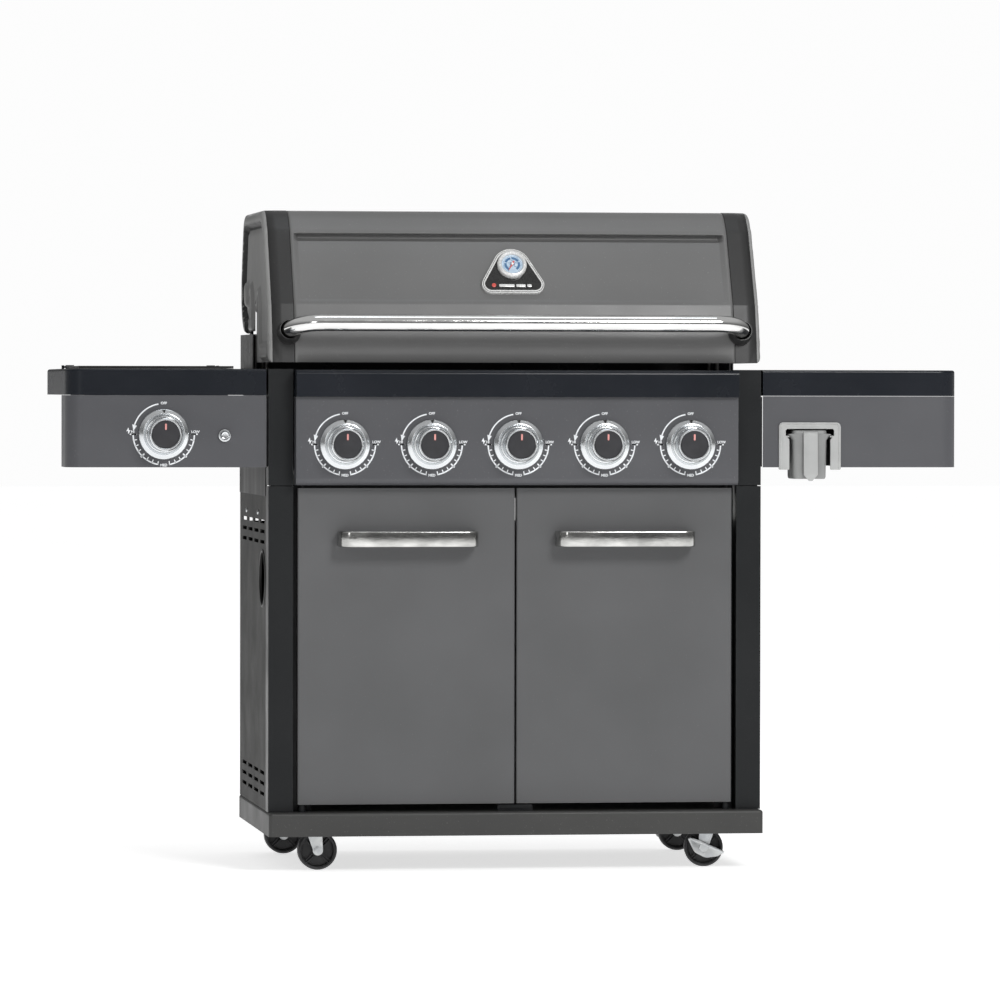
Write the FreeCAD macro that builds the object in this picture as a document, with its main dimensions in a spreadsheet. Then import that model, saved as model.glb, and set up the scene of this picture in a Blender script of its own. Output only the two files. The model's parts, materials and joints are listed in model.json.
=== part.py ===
import FreeCAD, Part
import math
import os
import re
import Sketcher

# A five-burner gas barbecue on a wheeled cabinet: millimetres, +X to the right of a person
# standing in front of it, +Y to the back, +Z up.  The origin is on the floor under the middle.

Vector = FreeCAD.Vector

SIZES = {
    # cabinet
    "front_y": -197.5,       # plane of the fronts of the posts
    "depth": 465,            # from that plane to the back
    "cab_w": 803,
    "skin": 2,               # sheet thickness
    "post_w": 40,
    "base_bottom": 58,
    "base_top": 96,
    "base_nose": 25,         # how far the base stands in front of the posts
    "channel_w": 72,
    "post_seam": 621,
    "post_top": 809,
    "back_top": 556,
    "vent_w": 68,
    "vent_tall": 6,
    "vent_pitch": 97,
    "hose_hole_r": 44,
    "hose_hole_y": 89,
    "hose_hole_z": 470,
    "screw_z": 576,
    # casters
    "caster_top": 79,
    "wheel_r": 31.75,
    "wheel_w": 24,
    "axle_r": 4,
    "trail": 18,
    "front_caster_x": 335,
    "rear_caster_x": 352,
    "front_caster_y": 50,
    "rear_caster_y": 415,
    # doors
    "door_bottom": 108,
    "door_top": 617.5,
    "door_t": 18,
    "door_outer": 354,
    "door_gap": 2.6,
    "door_pin_x": 346,
    "door_pin_y": 10,
    "grip_x": 177,
    "grip_w": 226,
    "grip_z": 536,
    "grip_tall": 26,
    "grip_out": 42,
    "grip_t": 8,
    # control panel
    "panel_w": 719,
    "panel_bottom": 622.5,
    "panel_top": 764.5,
    "panel_nose": 28,
    "rail_nose": 36,
    "rail_top": 808,
    "knob_pitch": 140.5,
    "knob_z": 688,
    "knob_r": 40.5,
    "knob_grip_r": 27,
    "knob_out": 42,
    "stem_r": 4,
    "manifold_y": 32,
    "manifold_z": 655,
    "manifold_r": 9,
    "inlet_r": 8,
    "inlet_x": 330,
    "inlet_drop": 43,        # from the pipe's axis down to the elbow's
    "inlet_block": 18,
    "inlet_long": 14,
    # cooking chamber
    "box_half": 397,
    "box_front": 46,
    "box_back": 461,
    "box_floor": 642,
    "tower_front": 258,
    "tower_top": 867,
    "burner_r": 17,
    "burner_neck_r": 11,
    "burner_front": 72,
    "burner_back": 436,
    "tamer_w": 92,
    "tamer_ridge": 752,
    "grate_top": 784,
    "grate_w": 255,
    "rack_z": 905,
    # lid
    "lid_half": 401.5,
    "lid_panel_half": 358.5,
    "lid_bottom": 820,
    "lid_top": 1067,
    "lid_bend_y": 21,
    "lid_bend_z": 914,
    "lid_brow_y": 86,
    "lid_brow_z": 1036,
    "lid_crown_y": 118,      # where the top begins, before its corner is rounded
    "lid_tail_y": 415,       # where the top ends, before its corner is rounded
    "hinge_y": 390,
    "hinge_z": 934,
    "hinge_r": 66,
    "lid_pin_r": 4,
    "arm_x": 388,
    "handle_r": 13.5,
    "handle_x": 368,
    "handle_z": 883,
    "handle_out": 50,
    "handle_bend": 50,
    "plate_corner_x": 61.6,  # corners of the badge plate before they are rounded
    "plate_low": 40.5,
    "plate_apex": 75.4,
    "gauge_r": 24,
    # side shelves
    "shelf_in": 405,
    "shelf_out": 727,
    "shelf_bottom": 767,
    "shelf_top": 809,
    "fascia_bottom": 651,
    "fascia_return": 100,
    "corner_r": 28,
    "side_lid_in": 450,
    "side_lid_out": 700,
    "side_lid_front": 82,
    "side_lid_back": 392,
    "side_pin_up": 3.8,  # the lid's pins above the shelf
    "side_knob_x": -570,
    "side_knob_z": 704,
    "button_x": -472,
    "button_z": 702,
    "button_r": 8.5,
    # hanging cup in the right fascia
    "cup_x": 482,
    "cup_frame_w": 102,
    "cup_frame_top": 724,
    "cup_body_w": 57,
    "cup_flange_w": 71,
    "cup_bottom": 632,
    "cup_top": 711,
    # grease tray
    "tray_half": 180,
    "tray_bottom": 604,
    "tray_top": 628,
}

doc = FreeCAD.newDocument("gas_grill")
sheet = doc.addObject("Spreadsheet::Sheet", "Dims")
for row, (alias, value) in enumerate(SIZES.items(), start=1):
    sheet.set(f"A{row}", alias)
    sheet.set(f"B{row}", str(value))
    sheet.setAlias(f"B{row}", alias)
doc.recompute()

sub_parts = []


# ---- helpers ---------------------------------------------------------------------------------

def value(formula):
    """The number that a formula of sizes comes to."""
    return float(sheet.evalExpression(str(formula)))


def bind(thing, name, formula):
    """Tie one property to the sheet: each size named in the formula becomes its cell."""
    cells = re.sub(r"[a-z_]+", lambda word: refer(word.group()), str(formula))
    thing.setExpression(name, cells)


def refer(word):
    return f"Dims.{word}" if word in SIZES else word


def at(thing, x=0, y=0, z=0):
    """Put a piece at a place given by three formulas."""
    for axis, formula in zip("xyz", (x, y, z)):
        bind(thing, f"Placement.Base.{axis}", formula)
    return thing


def box(corner, size):
    block = doc.addObject("Part::Box", "block")
    for name, formula in zip(("Length", "Width", "Height"), size):
        bind(block, name, formula)
    return at(block, *corner)


TURNS = {
    "X": FreeCAD.Rotation(Vector(0, 1, 0), 90),
    "Y": FreeCAD.Rotation(Vector(1, 0, 0), -90),
    "Z": FreeCAD.Rotation(),
}


def rod(start, axis, radius, length):
    """A round bar that runs from start along +axis."""
    bar = doc.addObject("Part::Cylinder", "bar")
    bind(bar, "Radius", radius)
    bind(bar, "Height", length)
    bar.Placement = FreeCAD.Placement(Vector(), TURNS[axis])
    return at(bar, *start)


def join(*pieces):
    whole = doc.addObject("Part::MultiFuse", "whole")
    whole.Shapes = list(pieces)
    whole.Refine = True
    return whole


def group(*pieces):
    """Separate solids that share one node."""
    bunch = doc.addObject("Part::Compound", "bunch")
    bunch.Links = list(pieces)
    return bunch


def cut(base, *tools):
    rest = doc.addObject("Part::Cut", "rest")
    rest.Base = base
    rest.Tool = tools[0] if len(tools) == 1 else join(*tools)
    return rest


def mirrored(piece):
    """The same piece on the other side of the middle plane."""
    twin = doc.addObject("Part::Mirroring", "twin")
    twin.Source = piece
    twin.Normal = Vector(1, 0, 0)
    return twin


def sub_part(label, piece):
    piece.Label = label
    sub_parts.append(piece)
    return piece


def new_body(turn=None):
    body = doc.addObject("PartDesign::Body", "body")
    if turn:
        body.Placement = FreeCAD.Placement(Vector(), turn)
    return body


def new_sketch(body, role):
    sketch = body.newObject("Sketcher::SketchObject", "sketch")
    planes = [item for item in body.Origin.OriginFeatures if item.Role == role]
    sketch.AttachmentSupport = [(planes[0], "")]
    sketch.MapMode = "FlatFace"
    return sketch


def outline(body, role, points):
    """A closed sketch of straight lines; every corner's place is bound to the sheet."""
    sketch = new_sketch(body, role)
    corners = [Vector(value(u), value(v), 0) for u, v in points]
    count = len(corners)
    for index in range(count):
        sketch.addGeometry(Part.LineSegment(corners[index], corners[(index + 1) % count]))
    for index in range(count):
        sketch.addConstraint(Sketcher.Constraint("Coincident", index, 2, (index + 1) % count, 1))
    for index, (u, v) in enumerate(points):
        for kind, formula in (("DistanceX", u), ("DistanceY", v)):
            rule = Sketcher.Constraint(kind, -1, 1, index, 1, value(formula))
            number = sketch.addConstraint(rule)
            bind(sketch, f"Constraints[{number}]", formula)
    return sketch


def rectangle(u_low, v_low, u_high, v_high):
    return [(u_low, v_low), (u_high, v_low), (u_high, v_high), (u_low, v_high)]


def pad(body, sketch, length, both_ways=False, reverse=False):
    feature = body.newObject("PartDesign::Pad", "pad")
    feature.Profile = sketch
    feature.Midplane = both_ways
    feature.Reversed = reverse
    bind(feature, "Length", length)
    doc.recompute()
    return body


def revolve(body, sketch, axis="V_Axis"):
    feature = body.newObject("PartDesign::Revolution", "revolution")
    feature.Profile = sketch
    feature.ReferenceAxis = (sketch, [axis])
    feature.Angle = 360
    doc.recompute()
    return body


def fillet(body, radius, test):
    """Round the edges of the body's last feature whose middle and direction pass the test."""
    tip = body.Tip
    names = []
    for number, edge in enumerate(tip.Shape.Edges, start=1):
        if edge.Curve.TypeId == "Part::GeomLine" and test(edge.CenterOfMass, direction(edge)):
            names.append(f"Edge{number}")
    feature = body.newObject("PartDesign::Fillet", "fillet")
    feature.Base = (tip, names)
    bind(feature, "Radius", radius)
    doc.recompute()
    return body


def direction(edge):
    """The axis that a straight edge runs along: X, Y or Z, or a dash for none."""
    run = edge.Curve.Direction
    for axis, part in zip("XYZ", (run.x, run.y, run.z)):
        if abs(part) > 0.999:
            return axis
    return "-"


def shell(body, thickness, test):
    """Hollow the body to a skin, and take away the faces whose middle and normal pass the test."""
    tip = body.Tip
    names = []
    for number, face in enumerate(tip.Shape.Faces, start=1):
        if face.Surface.TypeId == "Part::GeomPlane" and test(face.CenterOfMass, face.normalAt(0, 0)):
            names.append(f"Face{number}")
    feature = body.newObject("PartDesign::Thickness", "thickness")
    feature.Base = (tip, names)
    bind(feature, "Value", thickness)
    feature.Reversed = True
    doc.recompute()
    return body


def near(first, second, within=0.05):
    return abs(first - second) < within


# ---- cabinet ---------------------------------------------------------------------------------

def base_tray():
    """A pan with its skirt down; two channels under its top carry the casters."""
    tray = new_body()
    rim = outline(tray, "XY_Plane", rectangle(
        "-cab_w / 2 - 1", "front_y - base_nose", "cab_w / 2 + 1", "front_y + depth"))
    pad(tray, rim, "base_top - base_bottom")
    front = value("front_y - base_nose")
    high = value("base_top - base_bottom")
    fillet(tray, 6, lambda mid, run: run == "Z" and near(mid.y, front))
    fillet(tray, 5, lambda mid, run: run == "X" and near(mid.y, front) and near(mid.z, high))
    shell(tray, "skin", lambda mid, normal: near(mid.z, 0))
    at(tray, z="base_bottom")
    channels = [channel(side) for side in (-1, 1)]
    sub_part("base_tray", join(tray, *channels))


def channel(side):
    middle = f"{side} * (front_caster_x + rear_caster_x) / 2"
    start = "front_y - base_nose + 10"
    tall = "base_top - caster_top - skin / 2"
    outer = box((f"{middle} - channel_w / 2", start, "caster_top"), ("channel_w", "depth", tall))
    inner = box((f"{middle} - channel_w / 2 + skin", f"{start} - 1", "caster_top + skin"),
                ("channel_w - 2 * skin", "depth + 2", tall))
    return cut(outer, inner)


def square_tube(corner, size):
    """An upright box-section post, open at both ends."""
    x, y, z = corner
    wide, deep, tall = size
    inner = box((f"{x} + skin", f"{y} + skin", f"{z} - 1"),
                (f"{wide} - 2 * skin", f"{deep} - 2 * skin", f"{tall} + 2"))
    return cut(box(corner, size), inner)


def posts():
    section = ("post_w", "post_w")
    inner_x = "cab_w / 2 - post_w"
    lower = square_tube((inner_x, "front_y", "base_top"), (*section, "post_seam - 0.5 - base_top"))
    upper = square_tube((inner_x, "front_y", "post_seam + 1"),
                        (*section, "post_top - post_seam - 1"))
    sub_part("lower_posts", group(lower, mirrored(lower)))
    pipe_hole = rod(("-cab_w / 2 - 5", "front_y + manifold_y", "manifold_z"), "X", 6, "post_w + 10")
    sub_part("upper_posts", group(upper, cut(mirrored(upper), pipe_hole)))


def side_panels():
    """Sheets with four rows of louvre slots above and below, and the round hose hole."""
    inner_x = "cab_w / 2 - skin"
    plate = box((inner_x, "front_y + post_w + 0.5", "base_top"),
                ("skin", "depth - post_w - 0.5", "shelf_bottom - 1 - base_top"))
    tools = []
    for row_z in (121, 138, 155, 529, 546, 562):
        for column in range(4):
            start_y = f"front_y + 62 + {column} * vent_pitch"
            tools.append(box((f"{inner_x} - 1", start_y, f"{row_z} - vent_tall / 2"),
                             ("skin + 2", "vent_w", "vent_tall")))
    tools.append(rod((f"{inner_x} - 1", "front_y + hose_hole_y", "hose_hole_z"), "X",
                     "hose_hole_r", "skin + 2"))
    right = cut(plate, *tools)
    sub_part("side_panel_right", right)
    sub_part("side_panel_left", mirrored(right))


def back_panel():
    sheet_part = box(("-cab_w / 2 + skin + 0.2", "front_y + depth - skin", "base_top"),
                     ("cab_w - 2 * skin - 0.4", "skin", "back_top - base_top"))
    sub_part("back_panel", sheet_part)


def caster_plates():
    """Mounting plates with their kingpins, one over each caster."""
    pieces = []
    for x, y, _, _ in CASTERS.values():
        plate = box((f"{x} - 28", f"front_y + {y} - 28", "caster_top - 3"), (56, 56, 3))
        pin = rod((x, f"front_y + {y}", "caster_top - 13"), "Z", 5, 10)
        head = rod((x, f"front_y + {y}", "caster_top - 16"), "Z", 6.5, 3)
        pieces.append(join(plate, pin, head))
    sub_part("caster_plates", group(*pieces))


# Each caster: its kingpin's place, the way that its wheel trails, in degrees from +X, and the
# side of its fork that carries a brake: -1 for the fork's own front, 1 for its back, 0 for none.
CASTERS = {
    "front_left": ("-front_caster_x", "front_caster_y", 0, 0),
    "front_right": ("front_caster_x", "front_caster_y", 172, 1),
    "rear_left": ("-rear_caster_x", "rear_caster_y", 0, 0),
    "rear_right": ("rear_caster_x", "rear_caster_y", 176, -1),
}


def place_caster_piece(piece, x, y, angle):
    piece.Placement = FreeCAD.Placement(Vector(), FreeCAD.Rotation(Vector(0, 0, 1), angle))
    return at(piece, x, f"front_y + {y}", 0)


def caster_fork(brake_side):
    """Crown, ball race and two cheeks, with the axle riveted through them.

    brake_side is -1 or 1 where the axle stands out for a brake, and 0 where it has none.
    """
    cheek_points = [(-3, "caster_top - 10"), (24.5, "caster_top - 10"), ("trail + 8.2", "wheel_r"),
                    ("trail - 8.1", "wheel_r + 1")]
    cheeks = []
    for inner_y in (13, -15):
        cheek = new_body()
        pad(cheek, outline(cheek, "XZ_Plane", cheek_points), 2, reverse=True)
        at(cheek, y=inner_y)
        cheeks.append(cheek)
        cheeks.append(rod(("trail", inner_y, "wheel_r"), "Y", 8.2, 2))
    crown = box((-18, -15, "caster_top - 13"), (43.5, 30, 3))
    race = rod((0, 0, "caster_top - 10"), "Z", 19, 6.5)
    hole = rod((0, 0, "caster_top - 14"), "Z", 5.05, 12)
    ends = [rod(("trail", -19.5, "wheel_r"), "Y", "axle_r", 39)]
    if brake_side != -1:
        ends.append(rod(("trail", -17.5, "wheel_r"), "Y", 6, 2.5))
    if brake_side != 1:
        ends.append(rod(("trail", 15, "wheel_r"), "Y", 6, 2.5))
    return join(cut(join(crown, race), hole), *cheeks, *ends)


def caster_wheel():
    """Rim, web and hub turned in one, with three ribs on each side of the web."""
    wheel = new_body()
    half = "wheel_w / 2"
    profile = outline(wheel, "XY_Plane", [
        ("axle_r + 0.05", f"-{half}"), (10, f"-{half}"), (10, -3), (25, -3), (25, f"-{half}"),
        ("wheel_r - 2.5", f"-{half}"), ("wheel_r", f"2.5 - {half}"), ("wheel_r", f"{half} - 2.5"),
        ("wheel_r - 2.5", half), (25, half), (25, 3), (10, 3), (10, half), ("axle_r + 0.05", half)])
    revolve(wheel, profile)
    ribs = []
    for number in range(3):
        rib = box((9.5, -10, -2), (16, 20, 4))
        rib.Placement = FreeCAD.Placement(
            FreeCAD.Rotation(Vector(0, 1, 0), 30 + 120 * number).multVec(Vector(9.5, -10, -2)),
            FreeCAD.Rotation(Vector(0, 1, 0), 30 + 120 * number))
        for axis in "xyz":
            rib.setExpression(f"Placement.Base.{axis}", None)
        ribs.append(rib)
    return join(wheel, *ribs)


def caster_brake():
    """A stamped crescent on the axle, with its top edge turned out as the pedal."""
    blade = new_body()
    crescent = [(-24, 13), (-18, 15), (0, 6), (20, -3), (33, -8.5), (31, -10.5), (18, -12.5),
                (6, -13.6), (-6, -10), (-16, -2)]
    pad(blade, outline(blade, "XZ_Plane", crescent), 1.8)
    at(blade, y=-15.6)
    pedal = new_body()
    lip = [(-19, 13.2), (32, -9.8), (33.5, -7.2), (-17.4, 16.5)]
    pad(pedal, outline(pedal, "XZ_Plane", lip), 10)
    at(pedal, y=-15.6)
    bore = rod((0, -30, 0), "Y", "axle_r + 0.05", 20)
    return cut(join(blade, pedal), bore)


def casters():
    for name, (x, y, angle, brake_side) in CASTERS.items():
        spin = FreeCAD.Rotation(Vector(0, 0, 1), angle)
        fork = caster_fork(brake_side)
        place_caster_piece(fork, x, y, angle)
        sub_part(f"fork_{name}", fork)
        axle_place = spin.multVec(Vector(value("trail"), 0, 0))
        wheel = caster_wheel()
        wheel.Placement = FreeCAD.Placement(Vector(), spin)
        at(wheel, f"{x} + {axle_place.x}", f"front_y + {y} + {axle_place.y}", "wheel_r")
        sub_part(f"wheel_{name}", wheel)
        if brake_side:
            facing = angle if brake_side == -1 else angle + 180
            brake = caster_brake()
            brake.Placement = FreeCAD.Placement(
                Vector(), FreeCAD.Rotation(Vector(0, 0, 1), facing))
            at(brake, f"{x} + {axle_place.x}", f"front_y + {y} + {axle_place.y}", "wheel_r")
            sub_part(f"brake_{name}", brake)


# ---- doors -----------------------------------------------------------------------------------

def doors():
    """Two folded pans, hung on pins near their outer edges."""
    body = new_body()
    face = outline(body, "XY_Plane", rectangle(
        "door_gap / 2", "front_y", "door_outer", "front_y + door_t"))
    pad(body, face, "door_top - door_bottom")
    fillet(body, 3, lambda mid, run: run == "Z" and near(mid.y, value("front_y")))
    shell(body, 1.5, lambda mid, normal: near(mid.y, value("front_y + door_t")))
    at(body, z="door_bottom")
    pin_hole = rod(("door_pin_x", "front_y + door_pin_y", "door_bottom - 5"), "Z", 3.05,
                   "door_top - door_bottom + 10")
    right = cut(body, pin_hole)
    sub_part("door_right", right)
    sub_part("door_left", mirrored(right))


def door_handles():
    """Flat chromed strips bent back to the doors at both ends."""
    bow = new_body()
    pad(bow, outline(bow, "XY_Plane", rectangle(
        "grip_x - grip_w / 2", "front_y - grip_out", "grip_x + grip_w / 2", "front_y")), "grip_tall")
    front = value("front_y - grip_out")
    fillet(bow, 20, lambda mid, run: run == "Z" and near(mid.y, front))
    shell(bow, "grip_t", lambda mid, normal: near(mid.y, value("front_y")) or abs(normal.z) > 0.9)
    at(bow, z="grip_z - grip_tall / 2")
    sub_part("door_handle_right", bow)
    sub_part("door_handle_left", mirrored(bow))


def hinge_pins():
    """Door pins with their collars, and the two ears and pins of the side burner's lid."""
    pieces = []
    for side in (-1, 1):
        place = (f"{side} * door_pin_x", "front_y + door_pin_y")
        lower = rod((*place, "base_top"), "Z", 3, "door_bottom + 9 - base_top")
        collar = rod((*place, "base_top"), "Z", 6, "door_bottom - 0.5 - base_top")
        pieces.append(join(lower, collar))
        pieces.append(rod((*place, "door_top - 9"), "Z", 3, "panel_bottom - door_top + 9"))
    for ear_x, pin_x in (("-side_lid_out - 6", "-side_lid_out - 2"),
                         ("-side_lid_in + 2", "-side_lid_in - 10")):
        ear = box((ear_x, "front_y + side_lid_back + 2", "shelf_top"), (4, 8, "side_pin_up + 2.8"))
        pin = rod((pin_x, "front_y + side_lid_back + 6", "shelf_top + side_pin_up"), "X", 1.8, 12)
        pieces.append(join(ear, pin))
    sub_part("hinge_pins", group(*pieces))


# ---- control panel ---------------------------------------------------------------------------

KNOB_COLUMNS = (-2, -1, 0, 1, 2)


def control_panel():
    body = new_body()
    side = outline(body, "YZ_Plane", rectangle(
        "front_y - panel_nose", "panel_bottom", "front_y + 18", "panel_top"))
    pad(body, side, "panel_w", both_ways=True)
    front = value("front_y - panel_nose")
    low = value("panel_bottom")
    fillet(body, 11, lambda mid, run: run == "X" and near(mid.y, front) and near(mid.z, low))
    shell(body, "skin", lambda mid, normal: near(mid.y, value("front_y + 18")))
    holes = [rod((f"{column} * knob_pitch", "front_y - panel_nose - 5", "knob_z"), "Y", 6, 12)
             for column in KNOB_COLUMNS]
    sub_part("control_panel", cut(body, *holes))


def front_rail():
    body = new_body()
    side = outline(body, "YZ_Plane", rectangle(
        "front_y - rail_nose", "panel_top + 0.3", "front_y + box_front - 1", "rail_top"))
    pad(body, side, "panel_w", both_ways=True)
    front = value("front_y - rail_nose")
    high = value("rail_top")
    fillet(body, 8, lambda mid, run: run == "X" and near(mid.y, front) and near(mid.z, high))
    shell(body, "skin", lambda mid, normal: near(mid.y, value("front_y + box_front - 1"))
          or near(mid.z, value("panel_top + 0.3")))
    sub_part("front_rail", body)


def knob():
    """Skirt, grip and cap turned in one with the stem; the stem's axis is the body's Y axis."""
    body = new_body()
    profile = outline(body, "XY_Plane", [
        (0, 30), ("stem_r", 30), ("stem_r", -1), ("knob_r - 1.5", -1), ("knob_r", -3),
        ("knob_r", -6), ("knob_r - 4.5", -10.5), ("knob_grip_r + 2", -11.5), ("knob_grip_r", -14),
        ("knob_grip_r", "3.5 - knob_out"), ("knob_grip_r - 3.5", "-knob_out"), (0, "-knob_out")])
    return revolve(body, profile)


def knobs():
    for number, column in enumerate(KNOB_COLUMNS, start=1):
        piece = knob()
        at(piece, f"{column} * knob_pitch", "front_y - panel_nose", "knob_z")
        sub_part(f"knob_{number}", piece)
    piece = knob()
    at(piece, "side_knob_x", "front_y", "side_knob_z")
    sub_part("side_knob", piece)


def valve(x, panel_y, z):
    """A round valve with the stem's bore in front and its nozzle behind."""
    case = rod((x, f"{panel_y} + 9", z), "Y", 11, 28)
    nozzle = rod((x, f"{panel_y} + 37", z), "Y", 4.5, 14)
    bore = rod((x, f"{panel_y} + 8", z), "Y", "stem_r + 0.05", 24)
    return case, nozzle, bore


def gas_valves():
    pieces = []
    pipe = rod(("-inlet_x - 20", "front_y + manifold_y", "manifold_z"), "X", "manifold_r", 700)
    for column in KNOB_COLUMNS:
        x = f"{column} * knob_pitch"
        case, nozzle, bore = valve(x, "front_y - panel_nose", "knob_z")
        saddle = box((f"{x} - 8", "front_y - 8", "manifold_z + 2"),
                     (16, 40, "knob_z - manifold_z - 8"))
        pieces.append(cut(join(case, nozzle, saddle), bore, pipe))
    case, nozzle, bore = valve("side_knob_x", "front_y", "side_knob_z")
    drop = box(("side_knob_x - 6", "front_y + 24", "manifold_z + 4"),
               (12, 12, "side_knob_z - manifold_z - 8"))
    pieces.append(cut(join(case, nozzle, drop), bore))
    sub_part("gas_valves", group(*pieces))


def gas_manifold():
    """The pipe that feeds the valves, its inlet on an elbow that faces the open back, and the
    branch to the side burner."""
    y = "front_y + manifold_y"
    pipe = rod(("-inlet_x - 15", y, "manifold_z"), "X", "manifold_r", "2 * inlet_x + 15")
    neck = rod(("-inlet_x", y, "manifold_z - inlet_drop"), "Z", 6.5, "inlet_drop")
    elbow = box(("-inlet_x - inlet_block / 2", f"{y} - inlet_block / 2",
                 "manifold_z - inlet_drop - inlet_block / 2"),
                ("inlet_block", "inlet_block", "inlet_block"))
    thread = rod(("-inlet_x", f"{y} + inlet_block / 2", "manifold_z - inlet_drop"), "Y",
                 "inlet_r", "inlet_long")
    branch = rod(("side_knob_x - 4", y, "manifold_z"), "X", 4, "-inlet_x - side_knob_x")
    sub_part("gas_manifold", join(pipe, neck, elbow, thread, branch))


def igniter():
    """A spark box behind the left fascia, with its push button in a round nose."""
    place = ("button_x", "button_z")
    case = box(("button_x - 18", "front_y + 12", "button_z - 16"), (36, 40, 32))
    nose = rod((place[0], "front_y - 2", place[1]), "Y", "button_r + 0.5", 16)
    ring = rod((place[0], "front_y - 2.5", place[1]), "Y", "button_r + 2", 2.4)
    bore = rod((place[0], "front_y - 5", place[1]), "Y", "button_r - 1.9", 30)
    sub_part("igniter_box", cut(join(case, nose, ring), bore))
    head = rod((place[0], "front_y - 8", place[1]), "Y", "button_r - 2", 26)
    sub_part("igniter_button", head)


# ---- cooking chamber -------------------------------------------------------------------------

def firebox():
    """An open tub with a sloping floor, two hinge arms, tray rails and grate ledges."""
    tub = new_body()
    front, back = "front_y + box_front", "front_y + box_back"
    step, slot_front, slot_back = "front_y + tower_front", "front_y + 200", "front_y + 306"
    walls = outline(tub, "YZ_Plane", [
        (front, "rail_top"), (front, "box_floor + 26"), (slot_front, "box_floor"),
        (slot_back, "box_floor"), (back, "box_floor + 26"), (back, "tower_top"),
        (step, "tower_top"), (step, "rail_top")])
    pad(tub, walls, "2 * box_half", both_ways=True)
    inside = new_body()
    room = outline(inside, "YZ_Plane", [
        (f"{front} + skin", "lid_top"), (f"{front} + skin", "box_floor + 27.7"),
        (f"{slot_front} + 0.2", "box_floor + skin"), (f"{slot_back} - 0.2", "box_floor + skin"),
        (f"{back} - skin", "box_floor + 27.7"), (f"{back} - skin", "lid_top")])
    pad(inside, room, "2 * (box_half - skin)", both_ways=True)
    drain = box((-110, slot_front, "box_floor - 1"), (220, 106, 4))
    necks = [rod((f"{column} * knob_pitch", f"{front} - 1", "knob_z"), "Y", 12, 4)
             for column in KNOB_COLUMNS]
    extras = []
    for wall_y in (f"{front} + skin", f"{back} - skin - 8"):
        extras.append(box(("-box_half + 1", wall_y, "tamer_ridge - 34"), ("2 * box_half - 2", 8, 2)))
        extras.append(box(("-box_half + 1", wall_y, "grate_top - 16"), ("2 * box_half - 2", 8, 2)))
    sides = firebox_side_fittings(step)
    sub_part("firebox", join(cut(tub, inside, drain, *necks), *extras, *sides))


def low_x(side, edge, wide):
    """The lower X of a piece that is wide across and starts at edge, on the left or right."""
    return f"{side} * ({edge}) - {wide if side < 0 else 0}"


def firebox_side_fittings(step):
    """Tower covers, hinge arms with their pins, rack ledges and tray rails, on both sides."""
    fittings = []
    hinge = "front_y + hinge_y"
    for side in (-1, 1):
        cover = box((low_x(side, "cab_w / 2 - skin", 2), step, "shelf_bottom + 1"),
                    ("skin", "box_back - tower_front", "tower_top - shelf_bottom - 1"))
        cap = box((low_x(side, "box_half - 1", 5), step, "tower_top - skin"),
                  (5, "box_back - tower_front", "skin"))
        arm = box((low_x(side, "arm_x", 4), f"{hinge} - 13", "rail_top - 30"),
                  (4, 26, "hinge_z - rail_top + 30"))
        foot = box((low_x(side, "arm_x", 8), f"{hinge} - 13", "rail_top - 30"), (8, 26, 20))
        crown = rod((low_x(side, "arm_x", 4), hinge, "hinge_z"), "X", 13, 4)
        pin = rod((low_x(side, "arm_x", 13.2), hinge, "hinge_z"), "X", "lid_pin_r", 13.2)
        ledge = box((low_x(side, "box_half - 32", 31), step, "rail_top - skin"),
                    (31, 104, "skin"))
        rail = box((low_x(side, "tray_half + 11", 2), "front_y + 60", "tray_bottom + 17"),
                   (2, 396, "box_floor - tray_bottom - 12"))
        lip = box((low_x(side, "tray_half + 1", 12), "front_y + 60", "tray_bottom + 17"),
                  (12, 396, 2))
        fittings += [cover, cap, arm, foot, crown, pin, ledge, cut(join(rail, lip), floor_wedge())]
    return fittings


def floor_wedge():
    """The space above the tub's floor, which the tray rails must not enter."""
    wedge = new_body()
    above = outline(wedge, "YZ_Plane", [
        ("front_y + 20", "box_floor + 33"), ("front_y + 200", "box_floor + 1"),
        ("front_y + 306", "box_floor + 1"), ("front_y + 486", "box_floor + 33"),
        ("front_y + 486", "lid_top"), ("front_y + 20", "lid_top")])
    return pad(wedge, above, "4 * tray_half", both_ways=True)


def burner_tubes():
    pieces = []
    for column in KNOB_COLUMNS:
        tube = new_body()
        profile = outline(tube, "XY_Plane", [
            (8.5, 34), ("burner_neck_r", 34), ("burner_neck_r", "burner_front - 6"),
            ("burner_r", "burner_front"), ("burner_r", "burner_back"), (5, "burner_back"),
            (5, "box_back - skin - 0.5"), (0, "box_back - skin - 0.5"), (0, "burner_back - 1.5"),
            ("burner_r - 1.5", "burner_back - 1.5"), ("burner_r - 1.5", "burner_front + 1"),
            (8.5, "burner_front - 5")])
        revolve(tube, profile)
        at(tube, f"{column} * knob_pitch", "front_y", "knob_z")
        pieces.append(tube)
    sub_part("burner_tubes", group(*pieces))


def flame_tamers():
    """Roofs of folded sheet over the burners."""
    pieces = []
    for column in KNOB_COLUMNS:
        roof = new_body()
        half = "tamer_w / 2"
        profile = outline(roof, "XZ_Plane", [
            (f"-{half}", "tamer_ridge - 31.5"), (0, "tamer_ridge"), (half, "tamer_ridge - 31.5"),
            (f"{half} - 2.9", "tamer_ridge - 31.5"), (0, "tamer_ridge - 2"),
            (f"2.9 - {half}", "tamer_ridge - 31.5")])
        pad(roof, profile, "box_back - box_front - 8", reverse=True)
        at(roof, f"{column} * knob_pitch", "front_y + box_front + 4", 0)
        pieces.append(roof)
    sub_part("flame_tamers", group(*pieces))


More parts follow.
